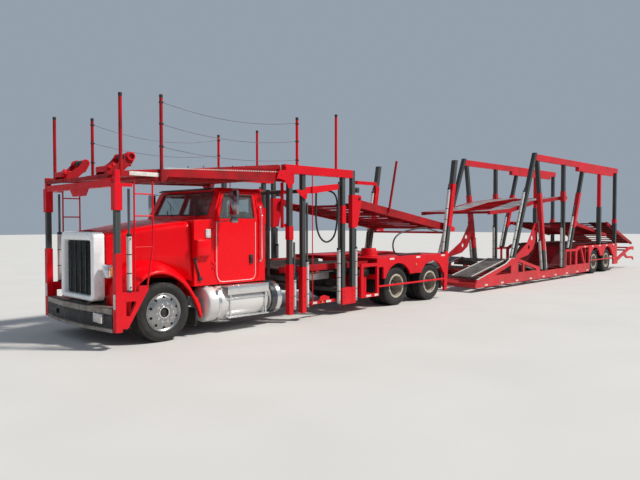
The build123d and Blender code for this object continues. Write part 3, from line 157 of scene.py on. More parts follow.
def hexagon(bm, centre, axis, radius, height):
    """Nut or bolt head with a domed end."""
    axis = Vector(axis).normalized()
    centre = Vector(centre)
    tube(bm, centre, centre + axis * height, radius, 6, radius * 0.94)
    tube(bm, centre + axis * height, centre + axis * height * 1.45, radius * 0.5, 10, radius * 0.38)


def loft(bm, rings, closed=True):
    """Skins matching rings of points."""
    made = [[bm.verts.new(Vector(p)) for p in ring] for ring in rings]
    for first, second in zip(made, made[1:]):
        count = len(first)
        for index in range(count if closed else count - 1):
            after = (index + 1) % count
            bm.faces.new((first[index], first[after], second[after], second[index]))
    return made


def piece(name, bm, material, body, replaces=(), smooth=40):
    """Turns a bmesh into an object that rides on a body."""
    bmesh.ops.recalc_face_normals(bm, faces=bm.faces)
    mesh = bpy.data.meshes.new(name)
    bm.to_mesh(mesh)
    bm.free()
    made = bpy.data.objects.new(name, mesh)
    bpy.context.scene.collection.objects.link(made)
    mesh.materials.append(material)
    if smooth:
        for face in mesh.polygons:
            face.use_smooth = True
        mesh.set_sharp_from_angle(angle=math.radians(smooth))
    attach(made, body)
    if replaces:
        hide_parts(*replaces)
    return made

# %% [markdown]
# ## Finishes
# A working truck is never one flat colour. Each finish starts from noise laid in the object's own
# coordinates: broad patches fade or stain the colour, fine grain breaks up the gloss, and dust
# gathers on what is near the road. The bevel node rounds hard edges for the light.

# %% Finish builder
def finish_of(name, base, worn, amount=0.5, rough=(0.3, 0.5), metallic=0.0, coat=0.0, patch=3.0,
              grain=90.0, bump=0.0003, edge=0.004, dust=0.0, stretch=(1, 1, 1), sheen=0.5,
              extra=None):
    made = bpy.data.materials.new(name)
    made.use_nodes = True
    tree = made.node_tree
    nodes, links = tree.nodes, tree.links
    shader = nodes["Principled BSDF"]
    shader.inputs["Metallic"].default_value = metallic
    shader.inputs["Coat Weight"].default_value = coat
    shader.inputs["Coat Roughness"].default_value = 0.06
    shader.inputs["Specular IOR Level"].default_value = sheen
    where = nodes.new("ShaderNodeTexCoord")
    mapping = nodes.new("ShaderNodeMapping")
    mapping.inputs["Scale"].default_value = stretch
    links.new(where.outputs["Object"], mapping.inputs["Vector"])

    def noise(scale, detail=5.0):
        node = nodes.new("ShaderNodeTexNoise")
        node.inputs["Scale"].default_value = scale
        node.inputs["Detail"].default_value = detail
        links.new(mapping.outputs["Vector"], node.inputs["Vector"])
        return node.outputs["Fac"]

    def ranged(value, low, high, to_low, to_high):
        node = nodes.new("ShaderNodeMapRange")
        for key, number in zip(("From Min", "From Max", "To Min", "To Max"),
                               (low, high, to_low, to_high)):
            node.inputs[key].default_value = number
        links.new(value, node.inputs["Value"])
        return node.outputs["Result"]

    def mixed(factor, first, second):
        node = nodes.new("ShaderNodeMix")
        node.data_type = "RGBA"
        links.new(factor, node.inputs["Factor"])
        for key, colour in ((6, first), (7, second)):
            if isinstance(colour, tuple):
                node.inputs[key].default_value = (*colour, 1)
            else:
                links.new(colour, node.inputs[key])
        return node.outputs[2]

    colour = mixed(ranged(noise(patch, 8), 0.38, 0.72, 0, amount), base, worn)
    if dust:
        split = nodes.new("ShaderNodeSeparateXYZ")
        links.new(where.outputs["Object"], split.inputs["Vector"])
        low = ranged(split.outputs["Z"], 0.05, 0.95, dust, 0.0)
        speck = nodes.new("ShaderNodeMath")
        speck.operation = "MULTIPLY"
        links.new(low, speck.inputs[0])
        links.new(ranged(noise(patch * 2.3), 0.3, 0.7, 0.3, 1.2), speck.inputs[1])
        colour = mixed(speck.outputs[0], colour, (0.30, 0.27, 0.23))
    height = noise(grain, 3)
    if extra:
        colour, height = extra(nodes, links, where, mixed, ranged, colour, height)
    links.new(colour, shader.inputs["Base Color"])
    links.new(ranged(noise(patch * 4), 0.3, 0.7, *rough), shader.inputs["Roughness"])
    relief = nodes.new("ShaderNodeBump")
    relief.inputs["Strength"].default_value = 0.6
    relief.inputs["Distance"].default_value = bump
    links.new(height, relief.inputs["Height"])
    if edge:
        round_edge = nodes.new("ShaderNodeBevel")
        round_edge.samples = 4
        round_edge.inputs["Radius"].default_value = edge
        links.new(round_edge.outputs["Normal"], relief.inputs["Normal"])
    links.new(relief.outputs["Normal"], shader.inputs["Normal"])
    return made


def banded(axis, bands):
    """Another colour between heights: (low, high, colour) along one object axis."""
    def extra(nodes, links, where, mixed, ranged, colour, height):
        split = nodes.new("ShaderNodeSeparateXYZ")
        links.new(where.outputs["Object"], split.inputs["Vector"])
        for low, high, other in bands:
            inside = nodes.new("ShaderNodeMath")
            inside.operation = "COMPARE"
            links.new(split.outputs[axis], inside.inputs[0])
            inside.inputs[1].default_value = (low + high) / 2
            inside.inputs[2].default_value = (high - low) / 2
            colour = mixed(inside.outputs[0], colour, other)
        return colour, height
    return extra


def chained(*steps):
    """Several extras, one after another."""
    def extra(nodes, links, where, mixed, ranged, colour, height):
        for step in steps:
            colour, height = step(nodes, links, where, mixed, ranged, colour, height)
        return colour, height
    return extra


def swapped(places):
    """Another colour in upright boxes: (station, half length, low, high, colour)."""
    def extra(nodes, links, where, mixed, ranged, colour, height):
        split = nodes.new("ShaderNodeSeparateXYZ")
        links.new(where.outputs["Object"], split.inputs["Vector"])
        for station, half, low, high, other in places:
            both = nodes.new("ShaderNodeMath")
            both.operation = "MULTIPLY"
            for socket, (axis, middle, reach) in enumerate((("X", at(station), half),
                                                            ("Z", (low + high) / 2,
                                                             (high - low) / 2))):
                inside = nodes.new("ShaderNodeMath")
                inside.operation = "COMPARE"
                links.new(split.outputs[axis], inside.inputs[0])
                inside.inputs[1].default_value = middle
                inside.inputs[2].default_value = reach
                links.new(inside.outputs[0], both.inputs[socket])
            colour = mixed(both.outputs[0], colour, other)
        return colour, height
    return extra


def chipped(bare, level):
    """Scuffs where the paint has gone through to rusty steel, in small sharp flakes."""
    def extra(nodes, links, where, mixed, ranged, colour, height):
        flake = nodes.new("ShaderNodeTexNoise")
        flake.inputs["Scale"].default_value = 9
        flake.inputs["Detail"].default_value = 12
        flake.inputs["Roughness"].default_value = 0.75
        links.new(where.outputs["Object"], flake.inputs["Vector"])
        return mixed(ranged(flake.outputs["Fac"], level, level + 0.03, 0, 0.85), colour,
                     bare), height
    return extra


def punched(pitch, radius, hole_colour, axes=("X", "Y"), facing="Z"):
    """Rows of holes for a plate, as colour, on the faces that look along one axis."""
    # The dark colour given for the holes of deck plates, treads and the wire screen is painted
    # shade seen through each hole.
    def extra(nodes, links, where, mixed, ranged, colour, height):
        split = nodes.new("ShaderNodeSeparateXYZ")
        links.new(where.outputs["Object"], split.inputs["Vector"])
        look = nodes.new("ShaderNodeSeparateXYZ")
        links.new(where.outputs["Normal"], look.inputs["Vector"])
        flat = nodes.new("ShaderNodeMath")
        flat.operation = "ABSOLUTE"
        links.new(look.outputs[facing], flat.inputs[0])
        mask = ranged(flat.outputs[0], 0.80, 0.86, 0, 1)
        squares = []
        for axis in axes:
            wave = nodes.new("ShaderNodeMath")
            wave.operation = "PINGPONG"
            links.new(split.outputs[axis], wave.inputs[0])
            wave.inputs[1].default_value = pitch / 2
            square = nodes.new("ShaderNodeMath")
            square.operation = "POWER"
            links.new(wave.outputs[0], square.inputs[0])
            square.inputs[1].default_value = 2
            squares.append(square.outputs[0])
        total = nodes.new("ShaderNodeMath")
        total.operation = "ADD"
        links.new(squares[0], total.inputs[0])
        links.new(squares[1], total.inputs[1])
        hole = nodes.new("ShaderNodeMath")
        hole.operation = "MULTIPLY"
        links.new(ranged(total.outputs[0], radius ** 2 * 1.15, radius ** 2 * 0.85, 0, 1),
                  hole.inputs[0])
        links.new(mask, hole.inputs[1])
        return mixed(hole.outputs[0], colour, hole_colour), height
    return extra

# %% [markdown]
# ## The finishes
# Each kind of surface on the rig gets one finish. The ramp, the racks and the trailer have faded
# differently, so there are several reds. Each finish could be built by hand, but a table of colours
# and amounts of wear is easy to compare and to change.

# %% Finishes of the machine
RED = (0.66, 0.003, 0.012)
STEEL_GREY = (0.062, 0.066, 0.066)
paint = {
    "rack red": finish_of("rack_red", RED, (0.42, 0.004, 0.009), 0.5, (0.34, 0.52), sheen=0.2,
                          patch=2.2, dust=0.05, extra=chipped((0.10, 0.035, 0.022), 0.66)),
    "trailer red": finish_of("trailer_red", (0.60, 0.012, 0.024), (0.34, 0.020, 0.022), 0.8,
                             (0.4, 0.6), patch=1.6, dust=0.12, sheen=0.25,
                             extra=chipped((0.15, 0.06, 0.04), 0.60)),
    "sleeve red": finish_of("sleeve_red", (0.60, 0.012, 0.024), (0.34, 0.020, 0.022), 0.8,
                            (0.4, 0.6), patch=1.6, dust=0.12, sheen=0.25,
                            extra=chained(chipped((0.15, 0.06, 0.04), 0.62),
                                          swapped(((19.25, 0.09, 1.0, 2.45, STEEL_GREY),
                                                   (20.90, 0.09, 1.0, 1.84, STEEL_GREY))))),
    "trailer grey": finish_of("trailer_grey", STEEL_GREY, (0.030, 0.031, 0.030), 0.9, (0.42, 0.68),
                              metallic=0.3, patch=5, stretch=(1, 1, 0.25),
                              extra=swapped(((19.25, 0.08, 2.45, 3.7, RED),))),
    "slide red": finish_of("slide_red", RED, (0.42, 0.004, 0.009), 0.5, (0.34, 0.52), sheen=0.2,
                           patch=2.2, extra=banded("Z", ((1.0, 2.05, STEEL_GREY),))),
    "post red": finish_of("post_red", RED, (0.42, 0.004, 0.009), 0.5, (0.34, 0.52), sheen=0.2,
                          patch=2.2, extra=banded("Z", ((1.16, 3.5, STEEL_GREY),))),
    "cab red": finish_of("cab_red", (0.76, 0.001, 0.006), (0.66, 0.001, 0.006), 0.5, (0.24, 0.34),
                         coat=0.12, sheen=0.18, patch=1.2, bump=0.00008, edge=0.012, dust=0.03),
    "grey steel": finish_of("greased_steel", STEEL_GREY, (0.030, 0.031, 0.030), 0.9, (0.42, 0.68),
                            metallic=0.3, patch=5, stretch=(1, 1, 0.25)),
    "bumper steel": finish_of("bumper_steel", (0.34, 0.32, 0.29), (0.15, 0.10, 0.075), 0.9,
                              (0.35, 0.65), metallic=0.6, patch=6, bump=0.0006, dust=0.1,
                              extra=banded("Z", ((0.305, 0.515, (0.030, 0.032, 0.035)),))),
    # The dark dots that punched() lays on these deck plates are painted shade seen through the
    # perforations.
    "well deck": finish_of("well_deck", (0.20, 0.20, 0.19), (0.07, 0.055, 0.045), 0.9, (0.45, 0.75),
                           metallic=0.5, patch=4, bump=0.001, edge=0,
                           extra=chained(swapped(((17.2, 2.9, 0.0, 2.0, (0.15, 0.012, 0.014)),)),
                                         punched(0.055, 0.014, (0.02, 0.012, 0.012)))),
    "red deck": finish_of("red_deck", (0.40, 0.004, 0.010), (0.12, 0.010, 0.010), 0.8, (0.4, 0.7),
                          patch=3.5, bump=0.001, edge=0, sheen=0.2,
                          extra=punched(0.055, 0.014, (0.02, 0.006, 0.006))),
    "chassis": finish_of("chassis_black", (0.022, 0.022, 0.024), (0.07, 0.06, 0.05), 0.7,
                         (0.4, 0.75), patch=5, dust=0.5),
    "tyre": finish_of("tyre_rubber", (0.009, 0.009, 0.0095), (0.022, 0.021, 0.020), 0.8, (0.6, 0.9),
                      patch=6, grain=220, bump=0.0005, edge=0, dust=0.06, sheen=0.35),
    "pale rim": finish_of("pale_rim", (0.50, 0.46, 0.38), (0.20, 0.155, 0.11), 0.9, (0.4, 0.7),
                          patch=9, edge=0.003, dust=0.1),
    "aluminium": finish_of("polished_aluminium", (0.72, 0.72, 0.72), (0.62, 0.61, 0.60), 0.5,
                           (0.20, 0.30), metallic=0.95, patch=3, bump=0.00003, edge=0.003),
    "disc": finish_of("wheel_disc", (0.34, 0.34, 0.34), (0.26, 0.255, 0.25), 0.6, (0.22, 0.34),
                      metallic=0.9, patch=5, bump=0.00005, edge=0.003, dust=0.04),
    "dark deck": finish_of("dark_deck", (0.42, 0.006, 0.012), (0.16, 0.012, 0.012), 0.8, (0.4, 0.7),
                           patch=3.5, bump=0.001, edge=0, sheen=0.2,
                           extra=chained(banded("Y", ((-1.068, 1.068, (0.085, 0.018, 0.016)),)),
                                         punched(0.055, 0.014, (0.02, 0.006, 0.006)))),
    "low deck": finish_of("low_deck", (0.40, 0.006, 0.012), (0.16, 0.012, 0.012), 0.8, (0.4, 0.7),
                          patch=3.5, bump=0.001, edge=0, sheen=0.2,
                          extra=chained(banded("Y", ((-1.035, 1.035, (0.060, 0.045, 0.042)),)),
                                        punched(0.055, 0.014, (0.015, 0.012, 0.012)))),
    "tank": finish_of("tank_aluminium", (0.70, 0.69, 0.67), (0.58, 0.56, 0.53), 0.6, (0.34, 0.46),
                      metallic=0.35, patch=1.6, stretch=(0.4, 1, 1), bump=0.00005, edge=0.004),
    "tank wrap": finish_of("tank_wrap", (0.016, 0.020, 0.028), (0.04, 0.045, 0.05), 0.6,
                           (0.2, 0.35), coat=0.5, patch=4, edge=0.003),
    # The mirror case's chrome is darkened far below the bright chrome: a painted reflection of the
    # dark ground.
    "mirror case in painted reflection": finish_of("mirror_case", (0.30, 0.31, 0.32), (0.20, 0.20, 0.20), 0.5, (0.1, 0.2),
                             metallic=1.0, patch=4, bump=0.00003, edge=0.003),
    "chrome": finish_of("bright_chrome", (0.82, 0.83, 0.85), (0.60, 0.60, 0.60), 0.5, (0.06, 0.16),
                        metallic=1.0, patch=9, bump=0.00003, edge=0.003),
    "surround": finish_of("satin_surround", (0.88, 0.89, 0.89), (0.80, 0.80, 0.79), 0.4,
                          (0.24, 0.34), metallic=0.1, coat=0.3, patch=2, bump=0.00004, edge=0.01),
    "rubber": finish_of("black_rubber", (0.012, 0.012, 0.013), (0.04, 0.038, 0.035), 0.6,
                        (0.4, 0.62), patch=12, dust=0.1),
    "trim": finish_of("cab_trim", (0.055, 0.052, 0.05), (0.09, 0.085, 0.08), 0.7, (0.5, 0.8),
                      patch=15, grain=400, bump=0.0006),
    "white": finish_of("cylinder_white", (0.62, 0.63, 0.62), (0.36, 0.34, 0.30), 0.75, (0.25, 0.5),
                       coat=0.3, patch=8, stretch=(1, 1, 0.3), dust=0.2),
    "rod": finish_of("steel_rod", (0.16, 0.17, 0.18), (0.05, 0.05, 0.05), 0.8, (0.22, 0.4),
                     metallic=0.8, patch=9, stretch=(1, 1, 0.2), edge=0),
    "wire": finish_of("dark_wire", (0.05, 0.05, 0.052), (0.16, 0.16, 0.16), 0.7, (0.35, 0.5),
                      metallic=0.5, patch=2, edge=0),
}
glass = finish_of("tinted_glass", (0.66, 0.74, 0.74), (0.58, 0.66, 0.66), 0.5, (0.01, 0.03),
                  patch=2, bump=0.00001, edge=0)
glass.node_tree.nodes["Principled BSDF"].inputs["Transmission Weight"].default_value = 0.93
glass.node_tree.nodes["Principled BSDF"].inputs["IOR"].default_value = 1.2
paint["glass"] = glass
print(len(paint), "finishes made")

# %% [markdown]
# ## Dress the CAD nodes
# The large forms come from the CAD model as they are and only need a finish. It could be set where
# each node is used, but one table shows at a glance which of them wear the same paint.

# %% Dress the CAD nodes
worn_by = {
    "rack red": ["rack_frame", "rear_deck_slides"],
    "slide red": ["head_slides"],
    "post red": ["rear_body"],
    "trailer red": ["trailer_frame", "tail_ramp"],
    "sleeve red": ["trailer_rack"],
    "trailer grey": ["trailer_posts"],
    "cab red": ["cab_shell", "door_left", "door_right", "hood"],
    "red deck": ["head_ramp", "rear_deck", "trailer_front_deck"],
    "dark deck": ["trailer_rear_deck", "tail_deck"],
    "low deck": ["fixed_decks"],
    "well deck": ["trailer_low_deck"],
    "grey steel": ["post_tubes"],
    "bumper steel": ["front_bumper"],
    "chassis": ["chassis_frame", "truck_axles", "trailer_axles", "knuckle_left", "knuckle_right",
                "engine_block"],
    "rubber": ["mudflaps"],
    "trim": ["cab_interior"],
    "glass": ["cab_glass", "window_left", "window_right"],
    "chrome": ["mirror_left", "mirror_right"],
    "surround": ["grille"],
    "tank": ["side_tanks"],
    "white": ["lift_cylinders", "trailer_cylinders"],
}
for finish, names in worn_by.items():
    for name in names:
        mesh = NODES[name].data
        mesh.materials.clear()
        mesh.materials.append(paint[finish])
for name, node in NODES.items():
    group = "tyre" if "tyre" in name else "aluminium" if "front_rim" in name else \
        "pale rim" if "rims" in name else None
    if group:
        node.data.materials.clear()
        node.data.materials.append(paint[group])
print("dressed", sum(len(names) for names in worn_by.values()), "nodes and the wheels")

# %% [markdown]
# ## Hydraulic hoses
# A hose is a fixed length of stiff rubber. It leaves its fitting straight, hangs in one smooth
# loop, and ends in another fitting. One NURBS line through a few control points gives that curve.

# %% Hoses
hose_routes = {
    "hose_front": (-1.06, [(4.800, 2.512), (4.940, 2.500), (5.065, 2.385), (5.085, 2.100),
                           (5.060, 1.800), (4.980, 1.560), (4.760, 1.450), (4.560, 1.560),
                           (4.460, 1.800), (4.450, 2.120), (4.460, 2.477)]),
    "hose_rear": (-1.10, [(8.1497, 1.740), (7.940, 1.737), (7.600, 1.700), (7.200, 1.640),
                          (6.975, 1.530), (6.892, 1.387), (6.921, 1.224), (7.047, 1.1183),
                          (7.340, 1.1263), (7.640, 1.1303), (7.989, 1.1183)]),
}
for name, (y, route) in hose_routes.items():
    curve = bpy.data.curves.new(name + "_line", "CURVE")
    curve.dimensions = "3D"
    curve.bevel_depth = 0.018
    curve.bevel_resolution = 5
    curve.resolution_u = 10
    curve.use_fill_caps = True
    spline = curve.splines.new("NURBS")
    spline.points.add(len(route) - 1)
    for spot, (station, height) in zip(spline.points, route):
        spot.co = (*point(station, y, height), 1)
    spline.order_u = 3
    spline.use_endpoint_u = True
    curve.materials.append(paint["rubber"])
    hose = bpy.data.objects.new(name + "_rubber", curve)
    bpy.context.scene.collection.objects.link(hose)
    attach(hose, "truck")
    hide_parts(name)
    tuple(point(route[0][0], y, route[0][1]))

# %% [markdown]
# ## Tyres
# A truck tyre is a thick rubber ring with a crowned tread cut by grooves that run round it. The
# section is drawn once and turned about the axle, then short cross cuts are pressed into the
# shoulders. The steered tyres have straight ribs, and the driven and trailer tyres are twins.

# %% Tyre pieces
def tyre_section(width, bead, outer, grooves):
    """Half section from the bead to the crown, mirrored: (across, radius)."""
    half = [(0.40, bead), (0.43, bead + 0.012), (0.455, bead + 0.035),
            (0.495, bead + (outer - bead) * 0.42), (0.50, bead + (outer - bead) * 0.55),
            (0.488, bead + (outer - bead) * 0.74), (0.470, outer - 0.040), (0.462, outer - 0.022),
            (0.448, outer - 0.010), (0.425, outer - 0.003)]
    half = [(share * width, radius) for share, radius in half]
    crown = []
    for middle in grooves:
        crown += [(middle * width + 0.0065, outer - 0.001),
                  (middle * width + 0.0045, outer - 0.013),
                  (middle * width - 0.0045, outer - 0.013),
                  (middle * width - 0.0065, outer - 0.001)]
    return half + crown


def tyre(bm, centre, direction, width, bead, outer, grooves, lugs):
    """Turned tyre; the shoulders are notched by lugs so that the edge of the tread is broken."""
    right = tyre_section(width, bead, outer, grooves)
    section = right + [(-a, r) for a, r in reversed(right)]
    segments = 96
    rows = lathe(bm, section, centre, segments, "Y", direction)
    for index in range(segments):
        after = (index + 1) % segments
        bm.faces.new((rows[-1][index], rows[-1][after], rows[0][after], rows[0][index]))
    for row_index in (8, 9, len(section) - 9, len(section) - 10):
        for index in range(0, segments, 2):
            spot = rows[row_index][index]
            out = Vector((spot.co.x - centre[0], 0, spot.co.z - centre[2])).normalized()
            spot.co -= out * lugs


STEER = dict(width=0.290, bead=0.286, outer=0.4645, grooves=(0.33, 0.20, 0.07), lugs=0.0015)
TWIN = dict(width=0.262, bead=0.248, outer=0.4395, grooves=(0.30, 0.10), lugs=0.006)
for side in SIDES:
    bm = bmesh.new()
    tyre(bm, point(0.96, side * 1.015, 0.465), side, **STEER)
    piece(f"steer_tyre_{NAMES[side]}", bm, paint["tyre"], f"front_wheel_{NAMES[side]}",
          [f"front_tyre_{NAMES[side]}"], smooth=35)
for group, stations in (("drive", (6.88, 8.21)), ("trailer", (18.80, 20.06))):
    for number, station in enumerate(stations, 1):
        for side in SIDES:
            bm = bmesh.new()
            for offset in (-0.15, 0.15):
                tyre(bm, point(station, side * (0.939 + offset), 0.440), side, **TWIN)
            body = f"{group}_wheel_{number}_{NAMES[side]}"
            piece(f"{group}_twin_tyres_{number}_{NAMES[side]}", bm, paint["tyre"], body,
                  [f"{group}_tyres_{number}_{NAMES[side]}"], smooth=35)
print("18 tyres turned")

# %% [markdown]
# ## Wheel hardware
# Ten nuts hold each wheel on a 285.75 mm circle. The steered wheels are forged discs that bulge out
# of the rim, with ten round hand holes. Each hole is cut in its own tenth of the disc, so the band
# closes by itself. The twin wheels are deep pale dishes with the hub standing out of them.

# %% Nuts, hubs and valves
dark_hub = finish_of("dark_hub", (0.035, 0.033, 0.032), (0.10, 0.085, 0.07), 0.8, (0.35, 0.6),
                     metallic=0.6, patch=14, edge=0.003)
disc_face = [(0.096, 0.150), (0.168, 0.150), (0.200, 0.146), (0.237, 0.135), (0.268, 0.118)]


def disc_height(radius):
    """How far the disc's face stands out at a radius."""
    for (r0, y0), (r1, y1) in zip(disc_face, disc_face[1:]):
        if radius <= r1:
            return y0 + (y1 - y0) * (radius - r0) / (r1 - r0)
    return disc_face[-1][1]


def holed_ring(bm, centre, side, inner, circle, outer, hole, depth, count=10):
    """Band of a wheel disc with a ring of round holes, each cut through its own sector."""
    half = math.pi / count * circle
    border = [(-half + half * i / 4, inner - circle) for i in range(8)]
    border += [(half, (inner - circle) + (outer - inner) * i / 4) for i in range(4)]
    border += [(half - half * i / 4, outer - circle) for i in range(8)]
    border += [(-half, (outer - circle) - (outer - inner) * i / 4) for i in range(4)]
    for index in range(count):
        middle = 2 * math.pi * (index + 0.5) / count
        rings = []
        for kind in ("back", "rim", "border"):
            ring = []
            for u, v in border:
                scale = 1 if kind == "border" else hole / math.hypot(u, v)
                radius, turn = circle + v * scale, middle + u * scale / circle
                out = disc_height(radius) - (depth if kind == "back" else 0)
                ring.append(centre + Vector((radius * math.cos(turn), side * out,
                                             radius * math.sin(turn))))
            rings.append(ring)
        loft(bm, rings)
    bmesh.ops.remove_doubles(bm, verts=bm.verts, dist=0.0002)


for side in SIDES:
    centre = point(0.96, side * 1.015, 0.465)
    bm = bmesh.new()
    holed_ring(bm, centre, side, 0.205, 0.237, 0.268, 0.0225, 0.016)
    lathe(bm, [(0.100, 0.092), (0.146, 0.092), (0.150, 0.096), (0.150, 0.168), (0.146, 0.200),
               (0.1445, 0.205)], centre, 80, "Y", side)
    lathe(bm, [(0.118, 0.268), (0.122, 0.273), (0.131, 0.286), (0.136, 0.299), (0.137, 0.304),
               (0.129, 0.306), (0.120, 0.300)], centre, 80, "Y", side)
    lathe(bm, [(0.106, 0.268), (0.060, 0.262), (-0.080, 0.262), (-0.120, 0.275), (-0.137, 0.303),
               (-0.122, 0.303)], centre, 80, "Y", side)
    piece(f"steer_disc_{NAMES[side]}", bm, paint["disc"], f"front_wheel_{NAMES[side]}",
          [f"front_rim_{NAMES[side]}"], smooth=40)
    bm = bmesh.new()
    for index in range(10):
        angle = math.radians(36 * index)
        spot = centre + Vector((0.143 * math.cos(angle), side * 0.149, 0.143 * math.sin(angle)))
        hexagon(bm, spot, (0, side, 0), 0.0215, 0.006)
        hexagon(bm, spot, (0, side, 0), 0.0175, 0.030)
        lathe(bm, [(0.030, 0.0125), (0.036, 0.011), (0.0365, 0.001)], spot, 12, "Y", side)
    lathe(bm, [(0.148, 0.075), (0.158, 0.077), (0.160, 0.083), (0.158, 0.092), (0.148, 0.096)],
          centre, 48, "Y", side)
    piece(f"steer_nuts_{NAMES[side]}", bm, paint["chrome"], f"front_wheel_{NAMES[side]}")
    bm = bmesh.new()
    lathe(bm, [(-0.060, 0.088), (0.100, 0.088), (0.128, 0.078), (0.134, 0.062), (0.126, 0.054),
               (0.132, 0.044), (0.134, 0.001)], centre, 48, "Y", side)
    lathe(bm, [(0.104, 0.262), (0.106, 0.205), (0.118, 0.100)], centre, 48, "Y", side)
    for index in range(8):
        angle = math.radians(45 * index + 20)
        spot = centre + Vector((0.068 * math.cos(angle), side * 0.130, 0.068 * math.sin(angle)))
        hexagon(bm, spot, (0, side, 0), 0.007, 0.007)
    piece(f"steer_hub_{NAMES[side]}", bm, dark_hub, f"front_wheel_{NAMES[side]}")
for group, stations in (("drive", (6.88, 8.21)), ("trailer", (18.80, 20.06))):
    for number, station in enumerate(stations, 1):
        for side in SIDES:
            centre = point(station, side * 0.939, 0.440)
            bm = bmesh.new()
            for index in range(10):
                angle = math.radians(36 * index + 9)
                spot = centre + Vector((0.143 * math.cos(angle), side * 0.012,
                                        0.143 * math.sin(angle)))
                hexagon(bm, spot, (0, side, 0), 0.018, 0.030)
            lathe(bm, [(0.148, 0.119), (0.156, 0.117), (0.160, 0.098), (0.158, 0.084),
                       (0.190, 0.081), (0.197, 0.070), (0.198, 0.001)], centre, 40, "Y", side)
            for index in range(8):
                angle = math.radians(45 * index)
                spot = centre + Vector((0.104 * math.cos(angle), side * 0.156,
                                        0.104 * math.sin(angle)))
                hexagon(bm, spot, (0, side, 0), 0.009, 0.008)
            piece(f"{group}_hub_{number}_{NAMES[side]}", bm, dark_hub,
                  f"{group}_wheel_{number}_{NAMES[side]}")
print("hubs and nuts set")

# %% [markdown]
# ## Grille
# The bright surround is a deep pressed frame with generously rounded top corners. Behind it stands
# a woven wire screen, split by upright bars. The frame is drawn as one rounded outline with a
# rounded opening, swept back in steps so that its front edge rolls over.

# %% Grille piece
def rounded_outline(half_width, low, high, radius, steps=8):
    """Rounded rectangle in (y, z), counted round from the lower right."""
    corners = [(half_width - radius, low + radius, -90), (half_width - radius, high - radius, 0),
               (-half_width + radius, high - radius, 90), (-half_width + radius, low + radius, 180)]
    outline = []
    for y, z, start in corners:
        for step in range(steps + 1):
            angle = math.radians(start + 90 * step / steps)
            outline.append((y + radius * math.cos(angle), z + radius * math.sin(angle)))
    return outline


bm = bmesh.new()
steps = [(0.270, 0.000), (0.112, 0.000), (0.097, 0.004), (0.0905, 0.014), (0.0905, 0.050),
         (0.0905, 0.088), (0.097, 0.100), (0.112, 0.106), (0.182, 0.110)]
rings = []
for depth, inset in steps:
    ring = rounded_outline(0.585 - inset, 0.655 + inset * 0.75, 1.725 - inset * 1.25,
                           max(0.10 - inset * 0.45, 0.03))
    rings.append([point(depth, y, z) for y, z in ring])
loft(bm, rings)
piece("grille_surround", bm, paint["surround"], "hood", ["grille"], smooth=50)
# Its holes are near-black dots of painted shade, seen through the weave.
screen = finish_of("wire_screen", (0.05, 0.05, 0.052), (0.03, 0.03, 0.03), 0.6, (0.35, 0.5),
                   metallic=0.8, patch=8, bump=0.002, edge=0,
                   extra=punched(0.016, 0.0056, (0.004, 0.004, 0.004), ("Y", "Z"), "X"))
bm = bmesh.new()
box(bm, point(0.172, -0.480, 0.735), point(0.180, 0.480, 1.590), 0)
piece("grille_screen", bm, screen, "hood")
bm = bmesh.new()
for index in range(-2, 3):
    box(bm, point(0.150, index * 0.188 - 0.005, 0.735), point(0.170, index * 0.188 + 0.005, 1.590),
        0.002)
for index in range(-15, 16):
    box(bm, point(0.164, index * 0.031 - 0.0018, 0.738),
        point(0.171, index * 0.031 + 0.0018, 1.587), 0)
piece("grille_bars", bm, paint["rod"], "hood")
bm = bmesh.new()
for side in SIDES:
    box(bm, point(0.115, side * 0.368, 0.612), point(0.175, side * 0.392, 0.662), 0.006)
piece("hood_hinge_lugs", bm, paint["chassis"], "hood")
print("grille built")

# %% [markdown]
# ## Hood and fenders
# The hood is one moulded shell. Its sides are nearly upright, the shoulders are rounded, and the
# top falls away towards the grille. The fenders swell out of it and end in a rolled lip round the
# wheel. Sections are drawn across the vehicle, one behind the other, and skinned.

# %% Hood piece
def blend_of(table, station):
    """Straight interpolation in a table of (station, value, ...)."""
    for before, after in zip(table, table[1:]):
        if station <= after[0]:
            share = (station - before[0]) / (after[0] - before[0])
            return [a + (b - a) * share for a, b in zip(before[1:], after[1:])]
    return list(table[-1][1:])


# station, half width at the foot, foot height, half width at the side, side height, top height
hood_form = [(0.270, 0.572, 0.72, 0.572, 1.62, 1.752), (0.60, 0.640, 0.98, 0.640, 1.66, 1.806),
             (1.00, 0.800, 0.98, 0.785, 1.70, 1.870), (1.35, 0.940, 0.98, 0.895, 1.74, 1.912),
             (1.572, 1.036, 0.90, 0.982, 1.765, 1.932)]
bm = bmesh.new()
rings = []
for index in range(25):
    station = 0.270 + (1.572 - 0.270) * index / 24
    foot, low, side_half, shoulder, top = blend_of(hood_form, station)
    profile = [(foot, low), (foot + (side_half - foot) * 0.5, (low + shoulder) / 2)]
    radius = 0.13
    for step in range(9):
        angle = math.radians(90 * step / 8)
        profile.append((side_half - radius + radius * math.cos(angle),
                        shoulder + (top - 0.045 - shoulder) * math.sin(angle)))
    profile += [(side_half * 0.62, top - 0.026), (side_half * 0.38, top - 0.008), (0, top)]
    ring = [point(station, y, z) for y, z in profile]
    ring += [point(station, -y, z) for y, z in reversed(profile[:-1])]
    rings.append(ring)
loft(bm, rings, closed=False)
hood_shell = piece("hood_shell", bm, paint["cab red"], "hood", ["hood"], smooth=60)
thick = hood_shell.modifiers.new("thickness", "SOLIDIFY")
thick.thickness = 0.008
thick.offset = -1



